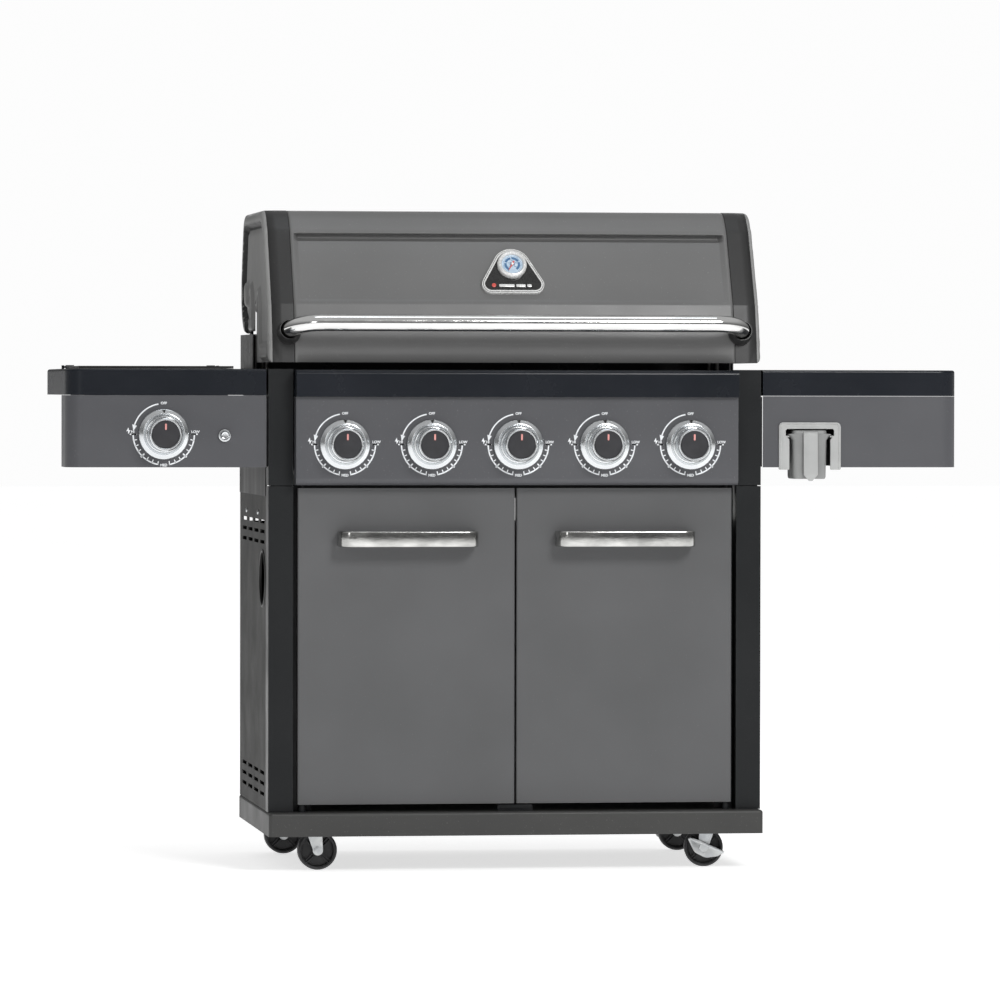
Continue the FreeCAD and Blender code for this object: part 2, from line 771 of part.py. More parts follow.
def grate(x):
    """A cast grid: two end rails, one middle rail and bars from front to back."""
    start_y, long = "front_y + box_front + 5", "box_back - box_front - 10"
    pieces = []
    for share in (0, 0.5, 1):
        pieces.append(box((f"{x} - grate_w / 2", f"{start_y} + {share} * ({long} - 10)",
                           "grate_top - 14"), ("grate_w", 10, 10)))
    bar_count = 14
    for number in range(bar_count):
        share = number / (bar_count - 1)
        pieces.append(box((f"{x} - grate_w / 2 + {share} * (grate_w - 7)", start_y,
                           "grate_top - 12"), (7, long, 12)))
    return join(*pieces)


def cooking_grates():
    spacing = "(grate_w + 4)"
    sub_part("cooking_grates", group(*[grate(f"{place} * {spacing}") for place in (-1, 0, 1)]))


def warming_rack():
    """A wire shelf on four legs that stand on the tub's side ledges."""
    front, back = "front_y + 272", "front_y + 352"
    pieces = []
    for side in (-1, 1):
        x = f"{side} * (box_half - 20)"
        pieces.append(rod((x, f"{front} - 3", "rack_z"), "Y", 3, "86"))
        for y in (front, back):
            pieces.append(rod((x, y, "rail_top"), "Z", 3, "rack_z - rail_top"))
    wire_count = 6
    for number in range(wire_count):
        y = f"{front} + {number / (wire_count - 1)} * ({back} - ({front}))"
        pieces.append(rod(("-box_half + 20", y, "rack_z"), "X", 2.4, "2 * (box_half - 20)"))
    sub_part("warming_rack", join(*pieces))


def grease_tray():
    """A drawer that leaves by the back, with a drip cup hung under its hole."""
    pan = new_body()
    pad(pan, outline(pan, "XY_Plane", rectangle(
        "-tray_half + 2", "front_y + 66", "tray_half - 2", "front_y + box_back")),
        "tray_top - tray_bottom")
    shell(pan, "skin / 2", lambda mid, normal: near(mid.z, value("tray_top - tray_bottom")))
    at(pan, z="tray_bottom")
    flanges = [box((x, "front_y + 66", "tray_bottom + 20"), (12, "box_back - 66", 1.5))
               for x in ("-tray_half - 9", "tray_half - 3")]
    front = box(("-tray_half - 8", "front_y + box_back", "tray_bottom - 4"),
                ("2 * tray_half + 16", "depth - box_back", 36))
    drain = rod((0, "front_y + 253", "tray_bottom - 1"), "Z", 12, 3)
    sub_part("grease_tray", cut(join(pan, *flanges, front), drain))
    cup = rod((0, "front_y + 253", "tray_bottom - 40"), "Z", 32, 39)
    inside = rod((0, "front_y + 253", "tray_bottom - 38.5"), "Z", 30.5, 40)
    hook = box((-38, "front_y + 243", "tray_bottom - 3"), (76, 20, 3))
    sub_part("grease_cup", cut(join(cup, hook), inside))


# ---- lid -------------------------------------------------------------------------------------

LID_OUTLINE = [
    ("front_y", "lid_bottom"), ("front_y + 4", "lid_bottom + 32"),
    ("front_y + lid_bend_y", "lid_bend_z"), ("front_y + lid_brow_y", "lid_brow_z"),
    ("front_y + lid_crown_y", "lid_top"), ("front_y + lid_tail_y", "lid_top"),
    ("front_y + hinge_y + hinge_r - 3", "hinge_z + 30"),
    ("front_y + hinge_y + hinge_r", "hinge_z"),
]


def round_lid(body):
    """Round the lid's outline at its brow, its top's front and back, and above the hinge."""
    brow, high, tail = value("lid_brow_z"), value("lid_top"), value("hinge_z + 30")
    middle = value("front_y + 300")
    fillet(body, 40, lambda mid, run: run == "X" and near(mid.z, brow))
    fillet(body, 45, lambda mid, run: run == "X" and near(mid.z, high) and mid.y > middle)
    fillet(body, 50, lambda mid, run: run == "X" and near(mid.z, high) and mid.y < middle)
    fillet(body, 30, lambda mid, run: run == "X" and near(mid.z, tail))


def lid_shell(low_x, wide, foot):
    """The rolled skin of the lid between two X places; foot closes the outline at the back."""
    body = new_body()
    pad(body, outline(body, "YZ_Plane", LID_OUTLINE + foot), wide)
    round_lid(body)
    shell(body, "skin", lambda mid, normal: abs(normal.x) > 0.9 or (
        normal.z < -0.2 and mid.z < value("hinge_z - 10")
        and mid.y > value("front_y + 20") and mid.y < value("front_y + hinge_y + 20")))
    return at(body, x=low_x)


def lid_panel():
    foot = [("front_y + hinge_y + hinge_r * cos(22)", "hinge_z - hinge_r * sin(22)"),
            ("front_y + hinge_y + hinge_r * cos(45)", "hinge_z - hinge_r * sin(45)")]
    skin_part = lid_shell("-lid_panel_half", "2 * lid_panel_half", foot)
    probe = gauge_rod(-80, 4.5, 100)
    sub_part("lid_panel", cut(skin_part, probe))


def lid_ends():
    """Pressed end caps: a band over the lid's outline and a side plate with two legs."""
    band = lid_shell("lid_panel_half + 0.3", "lid_half - lid_panel_half - 0.3",
                     [("front_y + hinge_y + 40", "hinge_z - 20")])
    notch = box(("lid_panel_half - 5", "front_y + hinge_y + 20", "lid_bottom"),
                (80, 100, "hinge_z + 28 - lid_bottom"))
    plate = new_body()
    arc = [(f"front_y + hinge_y + hinge_r * cos({angle})", f"hinge_z - hinge_r * sin({angle})")
           for angle in (15, 30, 45, 60, 75)]
    legs = arc + [
        ("front_y + hinge_y", "hinge_z - hinge_r + 0.7"), ("front_y + 352", "tower_top + 5"),
        ("front_y + 286", "tower_top + 5"), ("front_y + 286", "tower_top + 48"),
        ("front_y + 271", "tower_top + 58"), ("front_y + 256", "tower_top + 48"),
        ("front_y + 256", "lid_bottom")]
    pad(plate, outline(plate, "YZ_Plane", LID_OUTLINE + legs), "skin")
    round_lid(plate)
    at(plate, x="lid_half - skin")
    pin_hole = rod(("lid_half - 10", "front_y + hinge_y", "hinge_z"), "X", "lid_pin_r + 0.05", 20)
    right = cut(join(cut(band, notch), plate), pin_hole)
    sub_part("lid_end_right", right)
    sub_part("lid_end_left", mirrored(right))


def tilt(rise_y, rise_z):
    """The lean of a lid facet, in degrees from upright."""
    return math.degrees(math.atan2(rise_y, rise_z))


def lower_facet():
    """Lean of the facet under the bend, and how far the handle's bar is in front of it."""
    rise_y = value("lid_bend_y - 4")
    rise_z = value("lid_bend_z - lid_bottom - 32")
    lean = tilt(rise_y, rise_z)
    out = math.radians(lean)
    bar_to_bend = Vector(0, value("lid_bend_y + handle_out"), value("lid_bend_z - handle_z"))
    return lean, bar_to_bend.y * math.cos(out) - bar_to_bend.z * math.sin(out)


def lid_handle():
    """A bent tube, and the collars that it stands in."""
    lean, reach = lower_facet()
    turn = FreeCAD.Rotation(Vector(1, 0, 0), -lean)
    tube = new_body(turn)
    path = new_sketch(tube, "XY_Plane")
    end, bend = value("handle_x"), value("handle_bend")
    for side, first, last in ((-1, math.pi, 1.5 * math.pi), (1, 1.5 * math.pi, 2 * math.pi)):
        centre = Vector(side * (end - bend), bend, 0)
        foot, knee = Vector(side * end, reach - 0.2, 0), Vector(side * end, bend, 0)
        path.addGeometry(Part.LineSegment(foot, knee))
        path.addGeometry(Part.ArcOfCircle(Part.Circle(centre, Vector(0, 0, 1), bend), first, last))
    path.addGeometry(Part.LineSegment(Vector(bend - end, 0, 0), Vector(end - bend, 0, 0)))
    section = new_sketch(tube, "YZ_Plane")
    section.addGeometry(Part.Circle(Vector(), Vector(0, 0, 1), value("handle_r")))
    number = section.addConstraint(Sketcher.Constraint("Radius", 0, value("handle_r")))
    bind(section, f"Constraints[{number}]", "handle_r")
    section.addConstraint(Sketcher.Constraint("Coincident", 0, 3, -1, 1))
    doc.recompute()
    pipe = tube.newObject("PartDesign::AdditivePipe", "pipe")
    pipe.Profile = section
    pipe.Spine = (path, [])
    at(tube, 0, "front_y - handle_out", "handle_z")
    sub_part("lid_handle", tube)
    collars = []
    for side in (-1, 1):
        collar = new_body(turn)
        ring = outline(collar, "XY_Plane", [
            ("handle_r + 0.1", reach - 0.1), ("handle_r + 5.5", reach - 0.1),
            ("handle_r + 5.5", reach - 8), ("handle_r + 3.2", reach - 22),
            ("handle_r + 1.9", reach - 22), ("handle_r + 0.1", reach - 9)])
        revolve(collar, ring)
        at(collar, f"{side} * handle_x", "front_y - handle_out", "handle_z")
        collars.append(collar)
    sub_part("handle_ferrules", group(*collars))


def upper_facet_turn():
    lean = tilt(value("lid_brow_y - lid_bend_y"), value("lid_brow_z - lid_bend_z"))
    return FreeCAD.Rotation(Vector(1, 0, 0), -lean)


PLATE_RISE = 0.436      # the plate's middle, as a share of the way up the leaning facet
GAUGE_UP = 10           # the gauge's centre above the plate's middle
NEEDLE_REST = 240       # where the cold needle points, anticlockwise from three o'clock


def on_facet(piece, up=0, out=0):
    """Place a piece on the leaning facet: up along it from the plate's middle, and out from it."""
    turn = upper_facet_turn()
    shift = turn.multVec(Vector(0, -out, up))
    at(piece, 0, f"front_y + lid_bend_y + {PLATE_RISE} * (lid_brow_y - lid_bend_y) + {shift.y}",
       f"lid_bend_z + {PLATE_RISE} * (lid_brow_z - lid_bend_z) + {shift.z}")
    return piece


def gauge_rod(start_out, radius, length):
    """A round bar on the gauge's axis, from a depth behind the facet outwards."""
    bar = doc.addObject("Part::Cylinder", "bar")
    bar.Radius = radius
    bar.Height = length
    outward = FreeCAD.Rotation(Vector(1, 0, 0), 90)
    bar.Placement = FreeCAD.Placement(Vector(), upper_facet_turn().multiply(outward))
    return on_facet(bar, up=GAUGE_UP, out=start_out)


def gauge():
    """The badge plate, the thermometer with its probe, and the needle on its pivot."""
    plate = new_body(upper_facet_turn())
    pad(plate, outline(plate, "XZ_Plane", [
        ("-plate_corner_x", "-plate_low"), ("plate_corner_x", "-plate_low"), (0, "plate_apex")]), 4)
    fillet(plate, "gauge_r + 6.7", lambda mid, run: run == "Y" and mid.z > 0)
    fillet(plate, 16, lambda mid, run: run == "Y" and abs(mid.x) > 50)
    on_facet(plate, out=0.1)
    sub_part("gauge_plate", cut(plate, gauge_rod(-20, 4.5, 60)))
    dial = new_body(upper_facet_turn())
    profile = outline(dial, "XY_Plane", [
        (0, 70), (3, 70), (3, -4.2), ("gauge_r", -4.2), ("gauge_r", -8), ("gauge_r - 4", -12),
        ("gauge_r - 6.5", -12), ("gauge_r - 7.5", -8), (0.8, -8), (0.8, -10.4), (0, -10.4)])
    revolve(dial, profile)
    on_facet(dial, up=GAUGE_UP)
    sub_part("gauge", dial)
    rest = FreeCAD.Rotation(Vector(0, -1, 0), NEEDLE_REST)
    needle = new_body(upper_facet_turn().multiply(rest))
    arrow = outline(needle, "XZ_Plane", [
        (-6, -1.2), (0, -2.6), (2.4, -1.2), (13.5, -0.3), (13.5, 0.3), (2.4, 1.2), (0, 2.6), (-6, 1.2)])
    pad(needle, arrow, 1)
    on_facet(needle, up=GAUGE_UP, out=8.6)
    sub_part("gauge_needle", cut(needle, gauge_rod(5, 0.85, 8)))


# ---- side shelves ----------------------------------------------------------------------------

def shelf_top_pan():
    pan = new_body()
    pad(pan, outline(pan, "XY_Plane", rectangle(
        "shelf_in", "front_y", "shelf_out", "front_y + depth")), "shelf_top - shelf_bottom")
    outer = value("shelf_out")
    high = value("shelf_top - shelf_bottom")
    fillet(pan, "corner_r", lambda mid, run: run == "Z" and near(mid.x, outer))
    fillet(pan, 4, lambda mid, run: run == "X" and near(mid.z, high)
           and near(mid.y, value("front_y")))
    shell(pan, "skin", lambda mid, normal: near(mid.z, 0))
    return at(pan, z="shelf_bottom")


def shelves():
    sub_part("shelf_right", shelf_top_pan())
    well = box(("-side_lid_out + 6", "front_y + side_lid_front + 6", "shelf_bottom"),
               ("side_lid_out - side_lid_in - 12", "side_lid_back - side_lid_front - 12", 80))
    sub_part("shelf_left", cut(mirrored(shelf_top_pan()), well))


def fascia_pan():
    pan = new_body()
    pad(pan, outline(pan, "XY_Plane", rectangle(
        "shelf_in", "front_y", "shelf_out", "front_y + fascia_return")),
        "shelf_bottom - 0.5 - fascia_bottom")
    fillet(pan, "corner_r", lambda mid, run: run == "Z" and near(mid.x, value("shelf_out"))
           and near(mid.y, value("front_y")))
    shell(pan, "skin", lambda mid, normal: abs(normal.z) > 0.9
          or near(mid.y, value("front_y + fascia_return")) or near(mid.x, value("shelf_in")))
    return at(pan, z="fascia_bottom")


def fascias():
    mouth = box(("cup_x - 44", "front_y - 5", "fascia_bottom - 5"), (88, 20, 73))
    sub_part("fascia_right", cut(fascia_pan(), mouth))
    stem_hole = rod(("side_knob_x", "front_y - 5", "side_knob_z"), "Y", 6, 20)
    button_hole = rod(("button_x", "front_y - 5", "button_z"), "Y", "button_r + 0.6", 20)
    sub_part("fascia_left", cut(mirrored(fascia_pan()), stem_hole, button_hole))


def cup():
    """The frame round the fascia's mouth, and the cup that hangs in it on two rails."""
    frame = new_body()
    half = "cup_frame_w / 2"
    low, top = "fascia_bottom - 4", "cup_frame_top"
    arch = outline(frame, "XZ_Plane", [
        (f"-{half}", low), (f"-{half}", top), (half, top), (half, low), (33, low), (33, 697),
        (39.5, 704.5), (39.5, 713), (-39.5, 713), (-39.5, 704.5), (-33, 697), (-33, low)])
    pad(frame, arch, 3)
    fillet(frame, 6, lambda mid, run: run == "Y" and near(mid.z, value(top)))
    at(frame, "cup_x", "front_y", 0)
    rails = [box((f"cup_x + {x}", "front_y - 1", 699.5), (8.5, 62, 3)) for x in (30, -38.5)]
    sub_part("cup_frame", join(frame, *rails))
    body = box(("cup_x - cup_body_w / 2", "front_y - 4", "cup_bottom"),
               ("cup_body_w", 60, "cup_top - cup_bottom"))
    flange = box(("cup_x - cup_flange_w / 2", "front_y - 4", 703), ("cup_flange_w", 60, 2))
    inside = box(("cup_x - cup_body_w / 2 + 1.5", "front_y - 2.5", "cup_bottom + 1.5"),
                 ("cup_body_w - 3", 57, 100))
    strap = new_body()
    pad(strap, outline(strap, "XZ_Plane", rectangle(
        -11.5, "cup_bottom - 3", 11.5, "cup_top")), 3)
    fillet(strap, 11, lambda mid, run: run == "Y" and near(mid.z, value("cup_bottom - 3")))
    at(strap, "cup_x", "front_y - 11", 0)
    bridge = box(("cup_x - 11.5", "front_y - 12", "cup_top - 3"), (23, 8.5, 3))
    sub_part("catch_cup", join(cut(join(body, flange), inside), strap, bridge))


# ---- side burner -----------------------------------------------------------------------------

def side_burner():
    deep = "side_lid_back - side_lid_front"
    wide = "side_lid_out - side_lid_in"
    pan = box(("-side_lid_out + 8", "front_y + side_lid_front + 8", "shelf_bottom - 12"),
              (f"{wide} - 16", f"{deep} - 16", "shelf_top - shelf_bottom + 13"))
    rim = box(("-side_lid_out", "front_y + side_lid_front", "shelf_top"), (wide, deep, 1))
    inside = box(("-side_lid_out + 10", "front_y + side_lid_front + 10", "shelf_bottom - 10"),
                 (f"{wide} - 20", f"{deep} - 20", 80))
    middle_x = "side_knob_x"
    middle_y = "front_y + (side_lid_front + side_lid_back) / 2"
    riser_hole = rod((middle_x, middle_y, "shelf_bottom - 14"), "Z", 9, 6)
    sub_part("side_burner_bowl", cut(join(pan, rim), inside, riser_hole))
    head = rod((middle_x, middle_y, "shelf_bottom - 6"), "Z", 30, 12)
    cap = rod((middle_x, middle_y, "shelf_bottom + 6"), "Z", 40, 8)
    riser = rod((middle_x, middle_y, "side_knob_z"), "Z", 8, "shelf_bottom - 6 - side_knob_z")
    venturi = rod((middle_x, "front_y + 52", "side_knob_z"), "Y", 8,
                  "(side_lid_front + side_lid_back) / 2 - 52 + 8")
    sub_part("side_burner_head", join(head, cap, riser, venturi))
    side_burner_grate(middle_x, middle_y)
    side_lid(deep, wide)


def side_burner_grate(middle_x, middle_y):
    """A square wire trivet that stands on the bowl's floor: bars over two cross wires."""
    pieces = []
    span, reach = 200, 208
    foot, cross, top = "shelf_bottom - 10", "shelf_top - 13", "shelf_top - 10"
    for side in (-1, 1):
        edge_y = f"{middle_y} + {side * span / 2}"
        pieces.append(rod((f"{middle_x} - {reach / 2}", edge_y, cross), "X", 2, reach))
        for leg_x in (-span / 2, span / 2):
            pieces.append(rod((f"{middle_x} + {leg_x}", edge_y, foot), "Z", 2.2,
                              f"{top} - 1 - ({foot})"))
    bar_count = 7
    for number in range(bar_count):
        shift = span * (number / (bar_count - 1) - 0.5)
        pieces.append(rod((f"{middle_x} + {shift}", f"{middle_y} - {reach / 2}", top), "Y",
                          2.5, reach))
    sub_part("side_burner_grate", join(*pieces))


def side_lid(deep, wide):
    """A shallow pan over the bowl, with two knuckles behind."""
    pan = new_body()
    pad(pan, outline(pan, "XY_Plane", rectangle(0, 0, wide, deep)), 3.4)
    shell(pan, 1.5, lambda mid, normal: near(mid.z, 0))
    at(pan, "-side_lid_out", "front_y + side_lid_front", "shelf_top + 1.4")
    pieces = [pan]
    bores = []
    for x in ("-side_lid_out + 0.5", "-side_lid_in - 14.5"):
        place = (x, "front_y + side_lid_back + 6", "shelf_top + side_pin_up")
        pieces.append(rod(place, "X", 3.3, 14))
        pieces.append(box((x, "front_y + side_lid_back - 4", "shelf_top + 3"), (14, 8, 2)))
        bores.append(rod(place, "X", 1.85, 14))
    sub_part("side_lid", cut(join(*pieces), *bores))


def panel_screws():
    """Domed heads on the outside of the side panels."""
    heads = []
    for y in (164, 350):
        for x in ("cab_w / 2", "-cab_w / 2 - 1.8"):
            heads.append(rod((x, f"front_y + {y}", "screw_z"), "X", 4, 1.8))
    sub_part("panel_screws", group(*heads))


# ---- the whole -------------------------------------------------------------------------------

def check_and_export():
    """Stop on any failed object; then write one STEP file for each sub-part."""
    doc.recompute()
    for thing in doc.Objects:
        if "Invalid" in thing.State or "Error" in thing.State:
            raise RuntimeError(f"{thing.Name} ({thing.Label}) failed: {thing.State}")
    os.makedirs("parts", exist_ok=True)
    for piece in sub_parts:
        shape = piece.Shape
        if shape.isNull() or not shape.isValid() or not shape.Solids:
            raise RuntimeError(f"{piece.Label} has no valid solid")
        shape.exportStep(f"parts/{piece.Label}.step")
    box_all = Part.makeCompound([piece.Shape for piece in sub_parts]).BoundBox
    print(f"{len(sub_parts)} sub-parts, {box_all}")


for make in (base_tray, posts, side_panels, back_panel, caster_plates, casters, doors, door_handles,
             hinge_pins, control_panel, front_rail, knobs, gas_valves, gas_manifold, igniter,
             firebox, burner_tubes, flame_tamers, cooking_grates, warming_rack, grease_tray,
             lid_panel, lid_ends, lid_handle, gauge, shelves, fascias, cup, side_burner,
             panel_screws):
    make()
check_and_export()
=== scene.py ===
import json
import math
import bmesh
import bpy
from mathutils import Matrix, Vector
from mathutils.geometry import delaunay_2d_cdt


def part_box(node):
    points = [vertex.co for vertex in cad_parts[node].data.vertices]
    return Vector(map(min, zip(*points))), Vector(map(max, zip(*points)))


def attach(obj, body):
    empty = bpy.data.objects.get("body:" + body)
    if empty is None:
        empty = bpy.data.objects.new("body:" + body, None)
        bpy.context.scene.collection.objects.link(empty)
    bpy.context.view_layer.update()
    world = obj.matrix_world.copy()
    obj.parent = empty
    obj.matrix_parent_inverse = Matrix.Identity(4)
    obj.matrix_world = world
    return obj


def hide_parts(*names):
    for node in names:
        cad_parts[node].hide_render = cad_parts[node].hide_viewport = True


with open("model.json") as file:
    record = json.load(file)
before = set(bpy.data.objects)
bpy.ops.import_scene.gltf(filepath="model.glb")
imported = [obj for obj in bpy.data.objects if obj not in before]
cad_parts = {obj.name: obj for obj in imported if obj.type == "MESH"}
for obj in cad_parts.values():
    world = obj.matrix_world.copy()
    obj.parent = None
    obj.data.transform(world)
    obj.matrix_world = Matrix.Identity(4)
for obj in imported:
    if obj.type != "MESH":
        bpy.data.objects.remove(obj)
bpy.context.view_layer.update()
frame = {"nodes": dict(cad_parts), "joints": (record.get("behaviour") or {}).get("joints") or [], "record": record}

# A gas barbecue's looks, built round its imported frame: metres, the frame's own axes.
# Sizes of details are written in millimetres and scaled by MM.

MM = 0.001
JOINTS = {joint["name"]: joint for joint in frame["joints"]}
NODES = frame["nodes"]
FRONT = Vector(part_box("upper_posts")[0]).y      # plane of the posts' fronts
SIDE = Vector(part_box("side_panel_right")[1]).x  # outer face of the side panels
LID_END = Vector(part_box("lid_end_right")[1]).x  # outer face of the lid's ends
LID_SPLIT = Vector(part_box("lid_panel")[1]).x    # where the centre panel meets the ends


# ---- materials -------------------------------------------

WEAR_WIDTH = 1.2 * MM   # how far from an edge paint is rubbed
BUMP_HEIGHT = 1.0 * MM


def node(tree, kind, inputs, **settings):
    """A new shader node, each of its inputs set to a value or linked to another's output."""
    made = tree.nodes.new("ShaderNode" + kind)
    for name, value in settings.items():
        setattr(made, name, value)
    for socket, value in inputs.items():
        if isinstance(value, bpy.types.NodeSocket):
            tree.links.new(value, made.inputs[socket])
        else:
            made.inputs[socket].default_value = value
    return made


def mapped(tree, stretch):
    """Object coordinates, squeezed along an axis for brushed or streaky finishes."""
    place = node(tree, "TexCoord", {}).outputs["Object"]
    return node(tree, "Mapping", {"Scale": stretch, "Vector": place}).outputs["Vector"]


def noise(tree, vector, scale, detail=3.0, rough=0.5):
    return node(tree, "TexNoise", {"Vector": vector, "Scale": scale, "Detail": detail,
                                   "Roughness": rough}).outputs["Fac"]


def ramp(tree, source, stops):
    """A colour ramp through (place, colour) stops."""
    band = node(tree, "ValToRGB", {"Fac": source})
    elements = band.color_ramp.elements
    while len(elements) < len(stops):
        elements.new(0.5)
    for element, (place, colour) in zip(elements, stops):
        element.position = place
        element.color = (*colour, 1.0) if isinstance(colour, tuple) else (colour,) * 3 + (1.0,)
    return band.outputs["Color"]


def mix(tree, share, *colours):
    """Two colours, each a tuple or an output, mixed by share."""
    first, second = [(*colour, 1.0) if isinstance(colour, tuple) else colour
                     for colour in colours]
    return node(tree, "Mix", {"Factor": share, 6: first, 7: second}, data_type="RGBA").outputs[2]


def edge_mask(tree, width, breakup):
    """High on the object's outer edges, broken up by noise: where paint rubs thin."""
    bevel = node(tree, "Bevel", {"Radius": width}, samples=4)
    flat = node(tree, "NewGeometry", {})
    dot = node(tree, "VectorMath", {0: bevel.outputs["Normal"], 1: flat.outputs["Normal"]},
               operation="DOT_PRODUCT")
    turned = ramp(tree, dot.outputs["Value"], [(0.80, 1.0), (0.985, 0.0)])
    return node(tree, "Math", {0: turned, 1: breakup}, operation="MULTIPLY").outputs[0]


def finish(name, dark, light, rough, metallic=0.0, patch=5.0, grain=900.0, lift=0.05,
           stretch=(1, 1, 1), specks=None, wear=None, coat=0.0, spangle=None, specular=0.5,
           streak=None):
    """A finish whose colour, roughness and surface all vary.

    dark and light bound its colour in broad patches; rough is a pair of roughness limits;
    grain and lift are the size and height of its fine texture; specks are dust or pits;
    wear is the colour of its rubbed edges; spangle is the size of zinc flakes.
    """
    material = bpy.data.materials.new(name)
    material.use_nodes = True
    tree = material.node_tree
    shader = tree.nodes["Principled BSDF"]
    for socket, value in (("Metallic", metallic), ("Coat Weight", coat), ("Coat Roughness", 0.12),
                          ("Specular IOR Level", specular)):
        shader.inputs[socket].default_value = value
    vector = mapped(tree, stretch)
    colour = ramp(tree, noise(tree, vector, patch), [(0.3, dark), (0.7, light)])
    if spangle:
        cells = node(tree, "TexVoronoi", {"Scale": spangle, "Vector": vector})
        flakes = node(tree, "SeparateColor", {"Color": cells.outputs["Color"]})
        dim = tuple(channel * 0.72 for channel in dark)
        colour = mix(tree, flakes.outputs["Red"], colour, dim)
    # Lighter stripes in the colour: partly the brushing's grain, partly painted sheen.
    if streak:
        lines = ramp(tree, noise(tree, vector, streak, 4.0, 0.65), [(0.42, 0.0), (0.72, 0.5)])
        colour = mix(tree, lines, colour, tuple(min(1.0, c * 2.2 + 0.01) for c in light))
    if specks:
        size, tint = specks
        dots = ramp(tree, noise(tree, vector, size, 1.0), [(0.70, 0.0), (0.78, 0.35)])
        colour = mix(tree, dots, colour, tint)
    if wear:
        broken = ramp(tree, noise(tree, vector, 60.0, 4.0, 0.7), [(0.45, 0.0), (0.62, 0.75)])
        colour = mix(tree, edge_mask(tree, WEAR_WIDTH, broken), colour, wear)
    smudge = noise(tree, vector, patch * 2.6, 5.0, 0.62)
    spread = node(tree, "MapRange", {"Value": smudge, "From Min": 0.3, "From Max": 0.7,
                                     "To Min": rough[0], "To Max": rough[1]})
    bump = node(tree, "Bump", {"Strength": lift, "Distance": BUMP_HEIGHT,
                               "Height": noise(tree, vector, grain, 2.0)})
    for source, socket in ((colour, "Base Color"), (spread.outputs["Result"], "Roughness"),
                           (bump.outputs["Normal"], "Normal")):
        tree.links.new(source, shader.inputs[socket])
    return material


LOOKS = {}
GREY_DUST = (0.30, 0.30, 0.29)
PRIMER = (0.16, 0.16, 0.155)


def look(name, dark, light, rough, **details):
    """Keep a finish under its name."""
    LOOKS[name] = finish(name, dark, light, rough, **details)


look("lid_grey", (0.130, 0.130, 0.129), (0.148, 0.148, 0.147), (0.38, 0.48),
     specks=(420, GREY_DUST), coat=0.05)
look("door_grey", (0.082, 0.083, 0.085), (0.098, 0.099, 0.102), (0.36, 0.48),
     specks=(420, (0.2, 0.2, 0.2)), wear=PRIMER, coat=0.05)
# Painted shade: the doors' grey made darker for the side panels, which face away from the light.
look("side_grey_shaded", (0.036, 0.036, 0.035), (0.048, 0.048, 0.046), (0.5, 0.62), specular=0.12,
     specks=(420, (0.15, 0.15, 0.15)), wear=PRIMER)
look("panel_grey", (0.062, 0.063, 0.070), (0.076, 0.077, 0.084), (0.36, 0.46),
     specks=(420, (0.2, 0.2, 0.21)), wear=PRIMER, coat=0.05)
look("black_coat", (0.009, 0.010, 0.011), (0.014, 0.015, 0.016), (0.30, 0.42), specular=0.22,
     lift=0.07, specks=(500, (0.04, 0.04, 0.04)), wear=(0.07, 0.07, 0.07))
look("rail_black", (0.006, 0.008, 0.012), (0.010, 0.012, 0.017), (0.2, 0.3), specular=0.26,
     specks=(500, (0.028, 0.032, 0.038)), coat=0.04, wear=(0.05, 0.06, 0.07))
# Black enamel lightened: partly dust, partly painted light where the base catches the light.
look("base_coat", (0.032, 0.032, 0.031), (0.042, 0.042, 0.040), (0.4, 0.52), lift=0.07,
     specks=(380, (0.16, 0.155, 0.15)), wear=(0.12, 0.12, 0.115))
look("lid_band", (0.018, 0.018, 0.018), (0.025, 0.025, 0.025), (0.36, 0.48), lift=0.06,
     specks=(450, (0.10, 0.10, 0.10)))
# Lighter than the lid's front grey: partly its own paint, partly painted light for this side.
look("lid_side", (0.24, 0.24, 0.237), (0.28, 0.28, 0.277), (0.36, 0.46), specular=0.25, lift=0.06,
     specks=(420, GREY_DUST))
# Painted shade: a dark paint laid in the lid ends' groove where shade falls.
look("groove_painted_shade", (0.030, 0.030, 0.030), (0.042, 0.042, 0.042), (0.4, 0.52), lift=0.06,
     specks=(420, (0.10, 0.10, 0.10)), specular=0.2)
# Painted sheen: its lighter stripes stand in for the bands' brushed sheen as well as their grain.
look("band_grain_and_sheen", (0.012, 0.012, 0.012), (0.022, 0.022, 0.022), (0.42, 0.6), specular=0.2,
     lift=0.10, stretch=(1, 1, 0.08), streak=160.0)
look("bright_chrome", (0.72, 0.72, 0.71), (0.84, 0.84, 0.83), (0.05, 0.16), metallic=1.0, patch=14,
     grain=500, lift=0.02)
look("knob_chrome", (0.70, 0.72, 0.74), (0.76, 0.78, 0.79), (0.18, 0.25), metallic=1.0, patch=14,
     grain=240, lift=0.006)
look("grip_chrome", (0.34, 0.34, 0.33), (0.66, 0.66, 0.64), (0.10, 0.20), metallic=1.0, patch=22,
     grain=90, stretch=(1, 1, 2.5))
look("zinc", (0.52, 0.54, 0.56), (0.72, 0.73, 0.72), (0.26, 0.42), metallic=1.0, patch=40,
     grain=1200, lift=0.07, wear=(0.85, 0.85, 0.83))
look("wheel_black", (0.016, 0.016, 0.017), (0.028, 0.028, 0.030), (0.4, 0.58), patch=40, grain=1600,
     lift=0.12, specks=(260, (0.09, 0.085, 0.08)))
look("plastic_black", (0.012, 0.012, 0.012), (0.018, 0.018, 0.018), (0.35, 0.5), patch=30,
     grain=2200, lift=0.10)
look("cap_black", (0.018, 0.018, 0.021), (0.026, 0.026, 0.030), (0.3, 0.42), patch=60, grain=2500,
     lift=0.08)
look("brass", (0.55, 0.40, 0.17), (0.68, 0.52, 0.26), (0.24, 0.42), metallic=1.0, patch=60,
     lift=0.08, wear=(0.8, 0.66, 0.4))
